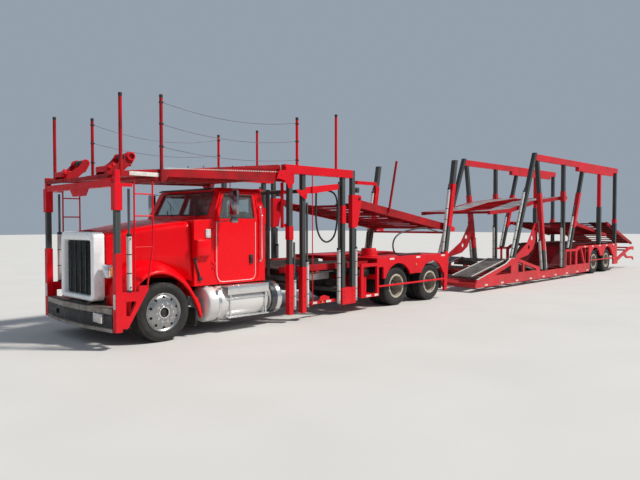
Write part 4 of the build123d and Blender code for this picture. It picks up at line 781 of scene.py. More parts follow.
def smoothed(points, steps=4):
    """Smooth line through the given (station, height) points."""
    line = []
    for index in range(len(points) - 1):
        near = [Vector(points[min(max(index + k, 0), len(points) - 1)]) for k in (-1, 0, 1, 2)]
        for step in range(steps):
            s = step / steps
            line.append(0.5 * (2 * near[1] + (near[2] - near[0]) * s
                               + (2 * near[0] - 5 * near[1] + 4 * near[2] - near[3]) * s * s
                               + (3 * near[1] - near[0] - 3 * near[2] + near[3]) * s ** 3))
    return line + [Vector(points[-1])]


bm = bmesh.new()
foot_inner_y, foot_top, cowl_station = 1.100, 0.62, 1.560
# inner edge of the wheel arch, from the rear foot over the wheel to the front foot
arch = smoothed([(1.655, 0.305), (1.606, 0.440), (1.553, 0.564), (1.495, 0.675), (1.426, 0.775),
                 (1.330, 0.880), (1.219, 0.966), (1.095, 1.032), (0.959, 1.066), (0.820, 1.064),
                 (0.700, 1.030), (0.600, 0.968), (0.515, 0.870), (0.450, 0.740), (0.410, 0.600),
                 (0.395, 0.450)])
for side in SIDES:
    rings = []
    for index, (station, height) in enumerate(arch):
        run = arch[min(index + 1, len(arch) - 1)] - arch[max(index - 1, 0)]
        out = Vector((-run.y, run.x)).normalized()
        out = out if out.dot(arch[index] - Vector((0.96, 0.465))) > 0 else -out
        front = index / (len(arch) - 1)
        swell = 0.075 + 0.05 * math.sin(math.pi * min(1, max(0, front)))
        profile = [(1.100, -0.004), (1.132, -0.002), (1.146, 0.010), (1.148, 0.026),
                   (1.140, 0.044), (1.100, 0.060), (1.02, swell), (0.90, swell + 0.035),
                   (0.74, swell + 0.075), (0.56, swell + 0.11)]
        if station > 1.40:
            profile = [(min(y, 1.148), r if y > 1.0 else min(r, 0.09)) for y, r in profile]
        ring = []
        for y, r in profile:
            s = station + out.x * r
            z = height + out.y * r
            if station > 1.40 and height < foot_top:
                y = max(y, foot_inner_y)
            rear = 1.712 if y >= foot_inner_y else cowl_station
            ring.append(point(min(max(s, 0.300), rear), side * y, max(z, 0.300)))
        rings.append(ring)
    loft(bm, rings, closed=False)
fender = piece("fenders", bm, paint["cab red"], "hood", smooth=60)
thick = fender.modifiers.new("thickness", "SOLIDIFY")
thick.thickness = 0.006
thick.offset = 0
print("hood and fenders skinned")

# %% [markdown]
# ## Cab details
# The cab is the CAD shell, and these pieces finish it: rubber round the glass, wipers, door
# handles, bright grab rails, the pale line round the door, hinges, the cowl box and the lamps.

# %% Cab trim
def strip(bm, path, half_width, half_depth, normal):
    """Flat moulding that follows a path, lying on a surface with the given normal."""
    normal = Vector(normal).normalized()
    rings = []
    for index, here in enumerate(path):
        before = path[max(index - 1, 0)]
        after = path[min(index + 1, len(path) - 1)]
        run = (Vector(after) - Vector(before)).normalized()
        across = run.cross(normal).normalized()
        here = Vector(here)
        rings.append([here + across * half_width - normal * half_depth,
                      here + across * half_width * 0.6 + normal * half_depth,
                      here - across * half_width * 0.6 + normal * half_depth,
                      here - across * half_width - normal * half_depth])
    made = loft(bm, rings)
    bm.faces.new(made[0])
    bm.faces.new(list(reversed(made[-1])))


def tube_path(bm, path, radius, sides=12):
    """Bent bar through the given points, one straight run after another with round joints."""
    for start, end in zip(path, path[1:]):
        tube(bm, start, end, radius, sides)
    for joint in path[1:-1]:
        bmesh.ops.create_icosphere(bm, subdivisions=2, radius=radius,
                                   matrix=Matrix.Translation(Vector(joint)))


for side in SIDES:
    body = f"door_{NAMES[side]}"
    bm = bmesh.new()
    box(bm, point(2.755, side * 1.058, 1.14), point(2.830, side * 1.082, 1.30), 0.012)
    box(bm, point(2.770, side * 1.078, 1.155), point(2.815, side * 1.094, 1.265), 0.008)
    piece(f"door_handle_{NAMES[side]}", bm, paint["rubber"], body)
    bm = bmesh.new()
    line = [(2.045, 1.86), (2.045, 1.02), (2.062, 0.93), (2.110, 0.868), (2.170, 0.855),
            (2.800, 0.855), (2.865, 0.880), (2.895, 0.940), (2.900, 1.88)]
    strip(bm, [point(s, side * 1.0605, z) for s, z in line], 0.006, 0.0015, (0, side, 0))
    piece(f"door_line_{NAMES[side]}", bm, paint["surround"], body)
    bm = bmesh.new()
    slope = 0.2083
    frame_line = [(2.118, 1.950), (2.892, 1.950), (2.892, 2.358), (2.262, 2.358), (2.118, 1.950)]
    strip(bm, [point(s, side * (1.0605 - (z - 1.93) * slope), z) for s, z in frame_line], 0.014,
          0.004, (0, side, slope))
    box(bm, point(2.385, side * 1.020, 1.955), point(2.405, side * 1.045, 2.10), 0.002)
    piece(f"door_seal_{NAMES[side]}", bm, paint["rubber"], body)
    bm = bmesh.new()
    for foot in (1.185, 2.155):
        box(bm, point(2.992, side * 1.059, foot - 0.02), point(3.032, side * 1.072, foot + 0.02),
            0.004)
    lean = 1.060 - (2.155 - 1.93) * slope
    tube_path(bm, [point(3.012, side * 1.066, 1.185), point(3.012, side * 1.105, 1.215),
                   point(3.012, side * 1.100, 2.00), point(3.012, side * (lean + 0.05), 2.13),
                   point(3.012, side * (lean + 0.002), 2.155)], 0.0125)
    piece(f"grab_rail_{NAMES[side]}", bm, paint["chrome"], "truck")
print("door trim set")

# %% [markdown]
# ## Round the windshield
# The glass is held in black rubber, the wipers rest at its foot, and the cowl closes the gap to the
# hood. The pieces that lie on the glass could each have their own coordinates, but they all follow
# its slope, so they are placed along one line from its foot to its head.

# %% Windshield rubber, wipers, roof edge and cowl
bm = bmesh.new()
foot, head = Vector((1.965, 1.930)), Vector((2.215, 2.480))
slope = (head - foot).normalized()
outward = Vector((-slope.y, slope.x))
middle = (foot + head) / 2


def on_screen(y, along, lift=0.0):
    """Point on the windshield plane."""
    spot = middle + slope * along + outward * lift
    return point(spot.x, y, spot.y)


for side in SIDES:
    corners = [(side * 0.022, -0.222), (side * 0.858, -0.222), (side * 0.806, 0.207),
               (side * 0.022, 0.207), (side * 0.022, -0.222)]
    strip(bm, [on_screen(y, v, 0.001) for y, v in corners], 0.016, 0.005,
          (outward.x, 0, outward.y))
piece("windshield_rubber", bm, paint["rubber"], "truck")
bm = bmesh.new()
for y, reach in ((-0.62, 0.30), (0.24, 0.30)):
    tube_path(bm, [on_screen(y, -0.235, 0.012), on_screen(y + 0.10, -0.10, 0.022),
                   on_screen(y + 0.20, 0.02, 0.018)], 0.005, 8)
    tube(bm, on_screen(y - 0.02, -0.12, 0.012), on_screen(y + 0.36, 0.08, 0.012), 0.004, 8)
    hexagon(bm, on_screen(y, -0.240, 0.004), (outward.x, 0, outward.y), 0.014, 0.012)
piece("wipers", bm, paint["rubber"], "truck")
bm = bmesh.new()
visor = [(2.160, 2.478), (2.110, 2.462), (2.085, 2.440)]
rings = [[point(s, y, z) for s, z in visor] for y in (-0.84, -0.5, -0.02, 0.02, 0.5, 0.84)]
loft(bm, rings, closed=False)
roof_visor = piece("roof_visor", bm, paint["rubber"], "truck")
thick = roof_visor.modifiers.new("thickness", "SOLIDIFY")
thick.thickness = 0.006
bm = bmesh.new()
for side in SIDES:
    box(bm, point(1.600, side * 1.055, 1.305), point(1.885, side * 1.132, 1.590), 0.016)
    box(bm, point(1.618, side * 1.128, 1.323), point(1.867, side * 1.140, 1.572), 0.006)
piece("cowl_boxes", bm, paint["cab red"], "truck")
bm = bmesh.new()
for side in SIDES:
    tube(bm, point(1.600, side * 1.074, 1.235), point(1.695, side * 1.074, 0.95), 0.016, 12)
    tube(bm, point(1.600, side * 1.070, 1.260), point(1.603, side * 1.070, 1.20), 0.020, 12)
    box(bm, point(1.665, side * 1.056, 0.905), point(1.735, side * 1.091, 0.965), 0.008)
    box(bm, point(1.575, side * 1.056, 1.235), point(1.625, side * 1.091, 1.285), 0.006)
piece("hood_catches", bm, paint["rubber"], "truck")
bm = bmesh.new()
for side in SIDES:
    box(bm, point(1.815, side * 1.058, 1.615), point(1.915, side * 1.078, 1.760), 0.012)
    for station, height in ((1.840, 1.640), (1.890, 1.640), (1.840, 1.735), (1.890, 1.735)):
        hexagon(bm, point(station, side * 1.077, height), (0, side, 0), 0.009, 0.006)
piece("cowl_latches", bm, paint["white"], "truck")
print("cab trim set")

# %% [markdown]
# ## Mirrors
# Each mirror is a tall bright case on two bent stays, with a round wide-angle mirror hung below it.

# %% Mirror pieces
# The cases wear the darkened chrome, whose colour is a painted reflection of the dark ground.
for side in SIDES:
    bm = bmesh.new()
    box(bm, point(2.192, side * 1.217, 2.002), point(2.248, side * 1.428, 2.408), 0.022)
    lathe(bm, [(1.962, 0.004), (1.960, 0.030), (1.948, 0.056), (1.925, 0.069), (1.895, 0.070),
               (1.868, 0.062), (1.861, 0.002)], point(2.220, side * 1.320, 0), 32, "Z", 1)
    tube_path(bm, [point(2.225, side * 1.400, 1.905), point(2.225, side * 1.400, 2.445),
                   point(2.310, side * 0.990, 2.372)], 0.0095)
    tube_path(bm, [point(2.225, side * 1.400, 1.922), point(2.060, side * 1.075, 1.880),
                   point(2.060, side * 1.0605, 1.880)], 0.0095)
    tube_path(bm, [point(2.225, side * 1.400, 1.935), point(2.225, side * 1.240, 1.935),
                   point(2.225, side * 1.232, 2.004)], 0.007)
    for spot in (point(2.060, side * 1.0603, 1.880), point(2.310, side * 0.979, 2.370)):
        lathe(bm, [(0, 0.002), (0, 0.018), (0.006, 0.018), (0.010, 0.010), (0.010, 0.001)], spot,
              20, "Y", side)
    piece(f"mirror_case_{NAMES[side]}", bm, paint["mirror case in painted reflection"], f"door_{NAMES[side]}",
          [f"mirror_{NAMES[side]}"])
print("mirrors made")

# %% [markdown]
# ## Headlamps
# A rectangular lamp sits on each side of the grille in a bright bezel, its lens ribbed, and a small
# amber lamp is let into its outer end.

# %% Lamp pieces
lens = finish_of("clear_lens", (0.72, 0.75, 0.78), (0.60, 0.63, 0.66), 0.6, (0.05, 0.15),
                 metallic=0.6, coat=1.0, patch=12, bump=0.001, edge=0.002,
                 extra=punched(0.018, 0.006, (0.45, 0.47, 0.50), ("Y", "Z"), "X"))
amber = finish_of("amber_lens", (0.75, 0.20, 0.01), (0.55, 0.12, 0.01), 0.6, (0.15, 0.3), coat=0.8,
                  patch=20, bump=0.0008, edge=0.002)
red_lens = finish_of("red_lens", (0.50, 0.01, 0.01), (0.32, 0.01, 0.01), 0.6, (0.15, 0.3), coat=0.8,
                     patch=20, bump=0.0008, edge=0.002)
tape = finish_of("pale_tape", (0.72, 0.70, 0.66), (0.50, 0.42, 0.38), 0.8, (0.3, 0.5), patch=14,
                 grain=300, edge=0, dust=0.3)
for side in SIDES:
    bm = bmesh.new()
    box(bm, point(0.200, side * 0.632, 1.022), point(0.400, side * 0.842, 1.232), 0.022)
    piece(f"headlamp_bezel_{NAMES[side]}", bm, paint["chrome"], "hood")
    bm = bmesh.new()
    box(bm, point(0.190, side * 0.652, 1.042), point(0.222, side * 0.822, 1.212), 0.014)
    piece(f"headlamp_lens_{NAMES[side]}", bm, lens, "hood")
    bm = bmesh.new()
    box(bm, point(0.235, side * 0.836, 1.05), point(0.330, side * 0.856, 1.19), 0.008)
    piece(f"turn_lamp_{NAMES[side]}", bm, amber, "hood")
print("lamps set")

# %% [markdown]
# ## Fuel tanks
# An aluminium tank is a rolled barrel with pressed, domed ends, held by strapped brackets. Steps
# are folded treads on the same straps. A shorter dark tank with a bright end sits behind it.

# %% Tank pieces
for side in SIDES:
    y, z, radius = side * 0.945, 0.495, 0.304
    bm = bmesh.new()
    dome = [(1.735, 0.002), (1.738, 0.10), (1.745, 0.19), (1.760, 0.26), (1.785, 0.292),
            (1.815, radius), (1.822, radius - 0.004), (1.830, radius)]
    other = [(1.735 + 3.080 - s, r) for s, r in reversed(dome)]
    lathe(bm, [(at(s), r) for s, r in dome + other], (0, y, z), 72, "X")
    piece(f"tank_barrel_{NAMES[side]}", bm, paint["tank"], "truck",
          ["side_tanks"] if side < 0 else (), smooth=30)
    bm = bmesh.new()
    for station in (1.990, 2.950):
        lathe(bm, [(at(station - 0.028), radius), (at(station - 0.028), radius + 0.006),
                   (at(station + 0.028), radius + 0.006), (at(station + 0.028), radius)],
              (0, y, z), 72, "X")
        box(bm, point(station - 0.034, side * 0.431, 0.600),
            point(station + 0.034, side * 0.70, 0.680), 0.006)
        box(bm, point(station - 0.020, side * 1.180, 0.735),
            point(station + 0.020, side * 1.262, 0.775), 0.004)
        hexagon(bm, point(station, side * 1.225, 0.700), (0, side, 0.4), 0.011, 0.012)
    for low, high, inner in ((0.771, 0.796, 1.074), (0.245, 0.270, 1.120)):
        box(bm, point(2.120, side * inner, low), point(3.030, side * 1.270, high), 0.005)
        for index in range(22):
            station = 2.150 + index * 0.0405
            box(bm, point(station, side * (inner + 0.02), high - 0.001),
                point(station + 0.016, side * 1.255, high + 0.001), 0)
    for station in (2.180, 2.960):
        box(bm, point(station - 0.015, side * 1.236, 0.250),
            point(station + 0.015, side * 1.268, 0.790), 0.004)
    box(bm, point(2.120, side * 1.262, 0.640), point(3.030, side * 1.271, 0.796), 0.003)
    box(bm, point(2.120, side * 1.238, 0.560), point(3.030, side * 1.258, 0.585), 0.004)
    piece(f"tank_straps_{NAMES[side]}", bm, paint["aluminium"], "truck")
    bm = bmesh.new()
    lathe(bm, [(0.780, 0.052), (0.800, 0.052), (0.803, 0.048), (0.803, 0.002)],
          (at(1.880), side * 0.985, 0), 28, "Z")
    tube(bm, point(2.30, side * 0.70, 0.698), point(2.30, side * 0.70, 0.730), 0.02)
    piece(f"tank_cap_{NAMES[side]}", bm, paint["chrome"], "truck")
    bm = bmesh.new()
    lathe(bm, [(at(s), r) for s, r in ((3.110, 0.002), (3.112, 0.20), (3.122, 0.275),
                                       (3.145, radius),
                                       (3.365, radius), (3.388, 0.275), (3.398, 0.20),
                                       (3.400, 0.002))], (0, y, z), 72, "X")
    box(bm, point(3.079, y - 0.058, z - 0.058), point(3.112, y + 0.058, z + 0.058), 0.006)
    piece(f"round_tank_{NAMES[side]}", bm, paint["aluminium"], "truck", smooth=30)
    bm = bmesh.new()
    lathe(bm, [(at(3.118), 0.10), (at(3.118), 0.24), (at(3.124), 0.285),
               (at(3.140), radius + 0.004),
               (at(3.262), radius + 0.005), (at(3.264), radius)], (0, y, z), 72, "X")
    piece(f"round_tank_wrap_{NAMES[side]}", bm, paint["tank wrap"], "truck", smooth=30)
    bm = bmesh.new()
    lathe(bm, [(0, 0.001), (0, 0.034), (0.006, 0.030), (0.009, 0.001)],
          (at(3.315), side * (0.945 + 0.222), 0.708), 24, "Y", side)
    lathe(bm, [(at(3.350), radius), (at(3.350), radius + 0.004), (at(3.366), radius + 0.004),
               (at(3.366), radius)], (0, y, z), 72, "X")
    piece(f"round_tank_band_{NAMES[side]}", bm, paint["chrome"], "truck")
print("tanks made")

# %% [markdown]
# ## Bumper details
# The weathered steel bumper has a tread ledge on top, a row of bolts, two towing eyes and a blank
# plate in its frame.

# %% Bumper pieces
bow = [(0.095, -1.150), (0.040, -0.720), (0.0, -0.320), (0.0, 0.320), (0.040, 0.720),
       (0.095, 1.150)]


def bow_at(y):
    for (s0, y0), (s1, y1) in zip(bow, bow[1:]):
        if y <= y1:
            return s0 + (s1 - s0) * (y - y0) / (y1 - y0)
    return bow[-1][0]


bm = bmesh.new()
for index in range(12):
    y = -1.05 + index * 0.191
    for height in (0.568, 0.284):
        hexagon(bm, point(bow_at(y) + 0.001, y, height), (-1, 0, 0), 0.010, 0.003)
for y in (-0.70, 0.70):
    lathe(bm, [(-0.004, 0.046), (0.012, 0.050), (0.012, 0.026), (-0.004, 0.024)],
          (at(bow_at(y) + 0.040), y, 0.40), 28, "X")
piece("bumper_bolts", bm, paint["bumper steel"], "truck")
bm = bmesh.new()
for index in range(46):
    y = -1.125 + index * 0.05
    box(bm, point(bow_at(y) + 0.022, y - 0.014, 0.599), point(0.100, y + 0.014, 0.6035), 0)
piece("bumper_tread", bm, paint["chassis"], "truck")
bm = bmesh.new()
box(bm, point(0.020, -0.960, 0.375), point(0.100, -0.700, 0.515), 0.004)
piece("plate_frame", bm, paint["chrome"], "truck")
bm = bmesh.new()
box(bm, point(0.0165, -0.952, 0.383), point(0.026, -0.708, 0.507), 0.002)
piece("plate_blank", bm, tape, "truck")
bm = bmesh.new()
for side in SIDES:
    box(bm, point(0.0985, side * 1.192, 0.60), point(0.1005, side * 1.258, 0.82), 0)
piece("post_tapes", bm, tape, "truck")
print("bumper dressed")

# %% [markdown]
# ## Lift cylinders
# Each post has a hydraulic cylinder beside it: a pale barrel, its gland, a few dark straps, and the
# dark rod that pushes the deck. They are drawn from a table of where each one stands and how long
# its barrel and its rod are.

# %% Cylinder pieces
truck_cylinders = [
    # foot (station, height), barrel's top, rod's top
    ((0.340, 0.8383), (0.340, 1.700), (0.340, 2.370)),
    ((3.700, 0.2103), (3.700, 0.830), (3.700, 1.500)),
    ((4.040, 0.2203), (4.040, 1.150), (4.040, 2.250)),
    ((4.940, 0.2003), (4.940, 1.350), (4.940, 2.690)),
    ((5.460, 0.2203), (5.460, 1.360), (5.460, 1.740)),
    ((8.7299, 1.110), (9.0326, 2.720), (9.0552, 2.840)),
]
trailer_cylinders = [
    ((12.338, 0.849), (13.150, 2.800), (13.190, 2.900)),
    ((14.392, 0.370), (14.225, 1.330), (14.130, 1.900)),
    ((14.732, 0.370), (14.570, 1.330), (14.475, 1.900)),
    ((15.880, 0.370), (15.880, 1.730), (15.880, 2.540)),
    ((16.388, 0.979), (16.830, 2.100), (16.975, 2.470)),
    ((21.010, 1.070), (21.010, 1.500), (21.010, 1.560)),
]
for body, table in (("truck", truck_cylinders), ("trailer", trailer_cylinders)):
    barrel, rod, strap = bmesh.new(), bmesh.new(), bmesh.new()
    for side in SIDES:
        for foot, middle, top in table:
            foot, middle, top = (point(s, side * 1.225, z) for s, z in (foot, middle, top))
            run = (middle - foot).normalized()
            length = (middle - foot).length
            tube(barrel, foot, middle, 0.0385, 24)
            tube(strap, middle - run * 0.035, middle + run * 0.004, 0.0400, 24)
            tube(strap, foot, foot + run * 0.03, 0.0400, 24)
            for index in range(1, int(length / 0.28)):
                spot = foot + run * (index * 0.28)
                tube(strap, spot - run * 0.007, spot + run * 0.007, 0.0397, 24)
            tube(rod, middle, top, 0.0195, 20)
            box(strap, foot - Vector((0.017, 0.017, 0.028)), foot + Vector((0.017, 0.017, 0.010)),
                0.003)
            out = Vector((0, side, 0))
            tube(strap, foot + run * 0.07, foot + run * 0.07 + out * 0.052, 0.010, 10)
            tube(strap, middle - run * 0.07, middle - run * 0.07 + out * 0.052, 0.010, 10)
    node = "lift_cylinders" if body == "truck" else "trailer_cylinders"
    piece(f"{body}_cylinder_barrels", barrel, paint["white"], body, [node], smooth=30)
    piece(f"{body}_cylinder_rods", rod, paint["rod"], body, smooth=30)
    piece(f"{body}_cylinder_straps", strap, paint["rubber"], body, smooth=30)
print("24 cylinders made")

# %% [markdown]
# ## Poles, caps and wires
# Guard poles stand along both edges with thin wires strung between them. A steel wire hangs slack,
# so each one is a shallow curve, and it is tied to the pole by a small black clamp. The wires
# run from the ramp's poles to the rack's.

# %% Pole pieces
poles = {
    # station, foot height, top on the near side, top on the far side, distance from the middle
    "nose": (0.250, 2.560, 3.780, 3.700, 1.166, "head_ramp"),
    "ramp": (0.930, 2.510, 3.850, 3.760, 1.166, "head_ramp"),
    "mast": (3.780, 2.939, 3.840, 3.760, 1.225, "truck"),
    "rear": (4.860, 2.939, 4.030, 3.970, 1.225, "truck"),
}
for name, (station, foot, near, far, y, body) in poles.items():
    caps, clamps = bmesh.new(), bmesh.new()
    for side in SIDES:
        top = near if side < 0 else far
        lathe(caps, [(top - 0.055, 0.0275), (top - 0.050, 0.0285), (top - 0.004, 0.0285),
                     (top, 0.024), (top + 0.001, 0.001)], point(station, side * y, 0), 20, "Z")
        for height in (top - 0.12, top - 0.45, top - 0.80) if name in ("ramp", "mast") else ():
            lathe(clamps,
                  [(height - 0.012, 0.0275), (height - 0.012, 0.034), (height + 0.012, 0.034),
                           (height + 0.012, 0.0275)], point(station, side * y, 0), 16, "Z")
            box(clamps,
                point(station - 0.012, side * y - 0.012, height - 0.010) + Vector((0.03, 0, 0)),
                point(station + 0.012, side * y + 0.012, height + 0.010) + Vector((0.03, 0, 0)),
                0.003)
    piece(f"pole_caps_{name}", caps, paint["rubber"], body)
    if name in ("ramp", "mast"):
        piece(f"pole_clamps_{name}", clamps, paint["rubber"], body)
    else:
        clamps.free()


def wire(name, start, end, sag, radius=0.004):
    """Slack wire from the head ramp's pole to the rack's."""
    curve = bpy.data.curves.new(name, "CURVE")
    curve.dimensions = "3D"
    curve.bevel_depth = radius
    curve.bevel_resolution = 2
    spline = curve.splines.new("POLY")
    spline.points.add(24)
    for index, spot in enumerate(spline.points):
        share = index / 24
        place = Vector(start).lerp(Vector(end), share)
        place.z -= sag * 4 * share * (1 - share)
        spot.co = (*place, 1)
    drawn = bpy.data.objects.new(name + "_line", curve)
    mesh = bpy.data.meshes.new_from_object(drawn)
    bpy.data.objects.remove(drawn)
    mesh.materials.clear()
    mesh.materials.append(paint["wire"])
    made = bpy.data.objects.new(name, mesh)
    bpy.context.scene.collection.objects.link(made)
    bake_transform(made)


for index, (height, sag) in enumerate(((3.73, 0.13), (3.39, 0.12), (3.04, 0.09))):
    wire(f"near_wire_{index}", point(0.965, -1.166, height), point(3.745, -1.225, height), sag)
for index, (height, sag) in enumerate(((3.64, 0.16), (3.31, 0.12))):
    wire(f"far_wire_{index}", point(0.965, 1.166, height), point(3.745, 1.225, height), sag)
print("wires strung")

# %% [markdown]
# ## Rack details on the truck
# The posts are drilled for lock pins, the rails carry pins and stops, and pale tape marks the lower
# edges. These are many small repeats, so they come from loops.

# %% Pin holes, pins and tapes
BEAM_FACE = 1.2850


def tapes(bm, side, stations, length, low, high):
    """Reflecting tapes on the outer face of the side beam."""
    for station in stations:
        box(bm, point(station, side * BEAM_FACE, low),
            point(station + length, side * 1.2864, high), 0)


def side_lamp(bm, side, station, height, reach=BEAM_FACE):
    """Round marker lamp that stands out of a side face."""
    lathe(bm, [(0, 0.026), (0.010, 0.024), (0.014, 0.014), (0.015, 0.001)],
          point(station, side * reach, height), 20, "Y", side)


def tail_lamps(bm, station, side, places, height):
    """Round lamps in a row on a rear face."""
    for y in places:
        lathe(bm, [(0, 0.050), (0.012, 0.048), (0.020, 0.030), (0.022, 0.001)],
              (at(station), side * y, height), 28, "X")


# The dark dots punched into both treads are painted shade seen through the perforations.
tread_pale = finish_of("pale_tread", (0.52, 0.53, 0.53), (0.26, 0.22, 0.19), 0.85, (0.35, 0.6),
                       metallic=0.7, patch=4, bump=0.001, edge=0,
                       extra=punched(0.060, 0.016, (0.03, 0.03, 0.03)))
tread_dark = finish_of("dark_tread", (0.060, 0.050, 0.047), (0.13, 0.020, 0.018), 0.8, (0.5, 0.75),
                       metallic=0.3, patch=4, bump=0.001, edge=0,
                       extra=punched(0.060, 0.016, (0.012, 0.012, 0.012)))
# The lock-pin holes are thin black discs on the tube's faces: painted shade standing in for the
# inside of each hole.
bm = bmesh.new()
for side in SIDES:
    for index in range(14):
        height = 1.46 + index * 0.038
        lathe(bm, [(0.0397, 0.0095), (0.0402, 0.0095), (0.0402, 0.001)],
              point(0.150, side * 1.225, height), 12, "Y", side)
        lathe(bm, [(-0.0402, 0.001), (-0.0402, 0.0095), (-0.0397, 0.0095)],
              point(0.150, side * 1.225, height), 12, "X")
piece("slide_pin_holes", bm, paint["rubber"], "head_slides")
# The rail's holes are thin black discs: painted shade standing in for the inside of each hole.
bm = bmesh.new()
for side in SIDES:
    for index in range(7):
        station = 1.45 + index * 0.30
        lathe(bm, [(0.0001, 0.014), (0.0009, 0.014), (0.0009, 0.001)],
              point(station, side * 1.111, 2.770 + (station - 1.45) * 0.075), 12, "Y", side)
piece("ramp_rail_holes", bm, paint["rubber"], "head_ramp")
bm = bmesh.new()
for side in SIDES:
    for index in range(60):
        station = 1.03 + index * 0.040
        height = 2.722 + (station - 1.03) * 0.0345
        lathe(bm, [(0.0001, 0.011), (0.0008, 0.011), (0.0008, 0.001)],
              point(station, side * 1.140, height), 10, "Y", side)
piece("ramp_rail_slots", bm, tape, "head_ramp")
bm = bmesh.new()
box(bm, point(0.400, -1.1405, 2.578), point(0.900, -1.1450, 2.640), 0.001)
piece("bare_plate", bm, tape, "head_ramp")
bm = bmesh.new()
for side in SIDES:
    for station, height in ((3.480, 2.690), (5.530, 2.360)):
        hexagon(bm, point(station, side * 1.2935, height) - Vector((0, side * 0.024, 0)),
                (0, side, 0), 0.030, 0.016)
    for station in (3.58, 3.92, 5.05, 5.35):
        for height in (0.36, 0.47):
            hexagon(bm, point(station, side * 1.2788, height), (0, side, 0), 0.013, 0.006)
piece("rack_pins", bm, dark_hub, "truck")
bm = bmesh.new()
for side in SIDES:
    for low, high in ((4.20, 4.34), (4.60, 4.74)):
        box(bm, point(low, side * 1.1965, 0.278), point(high, side * 1.1980, 0.322), 0)
    tapes(bm, side, (5.74,), 0.16, 0.292, 0.336)
    tapes(bm, side, (6.02,), 0.12, 0.292, 0.336)
    tapes(bm, side, (6.55, 7.55, 8.60), 0.16, 1.045, 1.085)
piece("truck_tapes", bm, tape, "truck")
bm = bmesh.new()
for side in SIDES:
    for station, height in ((4.49, 0.300), (7.545, 0.90)):
        reach = 1.1970 if station < 5 else 1.2850
        side_lamp(bm, side, station, height, reach)
piece("truck_side_lamps", bm, amber, "truck")
rack_plates = {
    # outlines in (station, height), at a distance from the middle
    "head_gusset": (1.288, [(3.271, 2.821), (3.645, 2.845), (3.645, 2.622), (3.543, 2.488),
                            (3.440, 2.600), (3.394, 2.647), (3.210, 2.673)]),
    "lock_bracket": (1.288, [(3.700, 2.460), (3.740, 2.488), (3.850, 2.478), (3.960, 2.490),
                             (3.985, 2.440), (3.975, 2.330), (3.930, 2.310), (3.790, 2.390)]),
    "shield": (1.190, [(4.400, 0.325), (4.700, 0.325), (4.700, 0.385), (4.560, 0.430),
                       (4.440, 0.415)]),
}
bm = bmesh.new()
for side in SIDES:
    for distance, outline in rack_plates.values():
        sheet(bm, [point(station, side * distance, height) for station, height in outline], 0.010,
              (0, 1, 0))
    for station, height in ((3.330, 2.745), (3.590, 2.770), (3.560, 2.560), (3.800, 2.430),
                            (3.920, 2.380)):
        hexagon(bm, point(station, side * 1.293, height), (0, side, 0), 0.014, 0.008)
    box(bm, point(3.440, side * 1.130, 1.770), point(3.490, side * 1.170, 2.610), 0.006)
    box(bm, point(3.440, side * 1.165, 1.790), point(3.530, side * 1.205, 1.850), 0.006)
    box(bm, point(3.440, side * 1.165, 2.400), point(3.530, side * 1.205, 2.460), 0.006)
piece("rack_brackets", bm, paint["rack red"], "truck")
bm = bmesh.new()
for side in SIDES:
    tube(bm, point(3.335, side * 0.900, 0.872), point(3.335, side * 0.900, 2.480), 0.036, 24)
    for height in (1.10, 1.75, 2.40):
        lathe(bm, [(height - 0.014, 0.036), (height - 0.012, 0.042), (height + 0.012, 0.042),
                   (height + 0.014, 0.036)], point(3.335, side * 0.900, 0), 24, "Z")
    box(bm, point(5.405, side * 1.180, 2.490), point(5.560, side * 1.250, 2.600), 0.012)
    tube(bm, point(5.470, side * 1.150, 2.545), point(5.470, side * 1.280, 2.545), 0.030, 20)
tube(bm, point(6.610, -0.600, 1.284), point(6.610, -0.600, 1.640), 0.030, 20)
tube(bm, point(6.610, -0.600, 1.640), point(6.740, -0.600, 1.700), 0.024, 16)
piece("rack_pipes", bm, paint["chassis"], "truck")
bm = bmesh.new()
lathe(bm, [(1.1005, 0.215), (1.116, 0.215), (1.128, 0.200), (1.270, 0.168), (1.284, 0.160),
           (1.285, 0.030)], point(6.600, -0.640, 0), 40, "Z")
piece("pedestal", bm, paint["rack red"], "truck", smooth=30)
bm = bmesh.new()
for side in SIDES:
    box(bm, point(4.400, side * 0.434, 0.710), point(5.000, side * 0.900, 0.880), 0.012)
    for station in (4.50, 4.70, 4.90):
        box(bm, point(station - 0.018, side * 0.895, 0.712),
            point(station + 0.018, side * 0.906, 0.878), 0.003)
piece("valve_boxes", bm, tread_pale, "truck")
bm = bmesh.new()
for side in SIDES:
    tail_lamps(bm, 8.931, side, (0.98, 1.12), 0.98)
piece("truck_tail_lamps", bm, red_lens, "truck")
print("rack details set")

# %% [markdown]
# ## Wheel stops on the head ramp
# At the front of the ramp two ratchet winches and hooked stops hold the first car. They are lumpy
# machines: a drum with flanges, a toothed wheel, a pawl and a short length of strap.

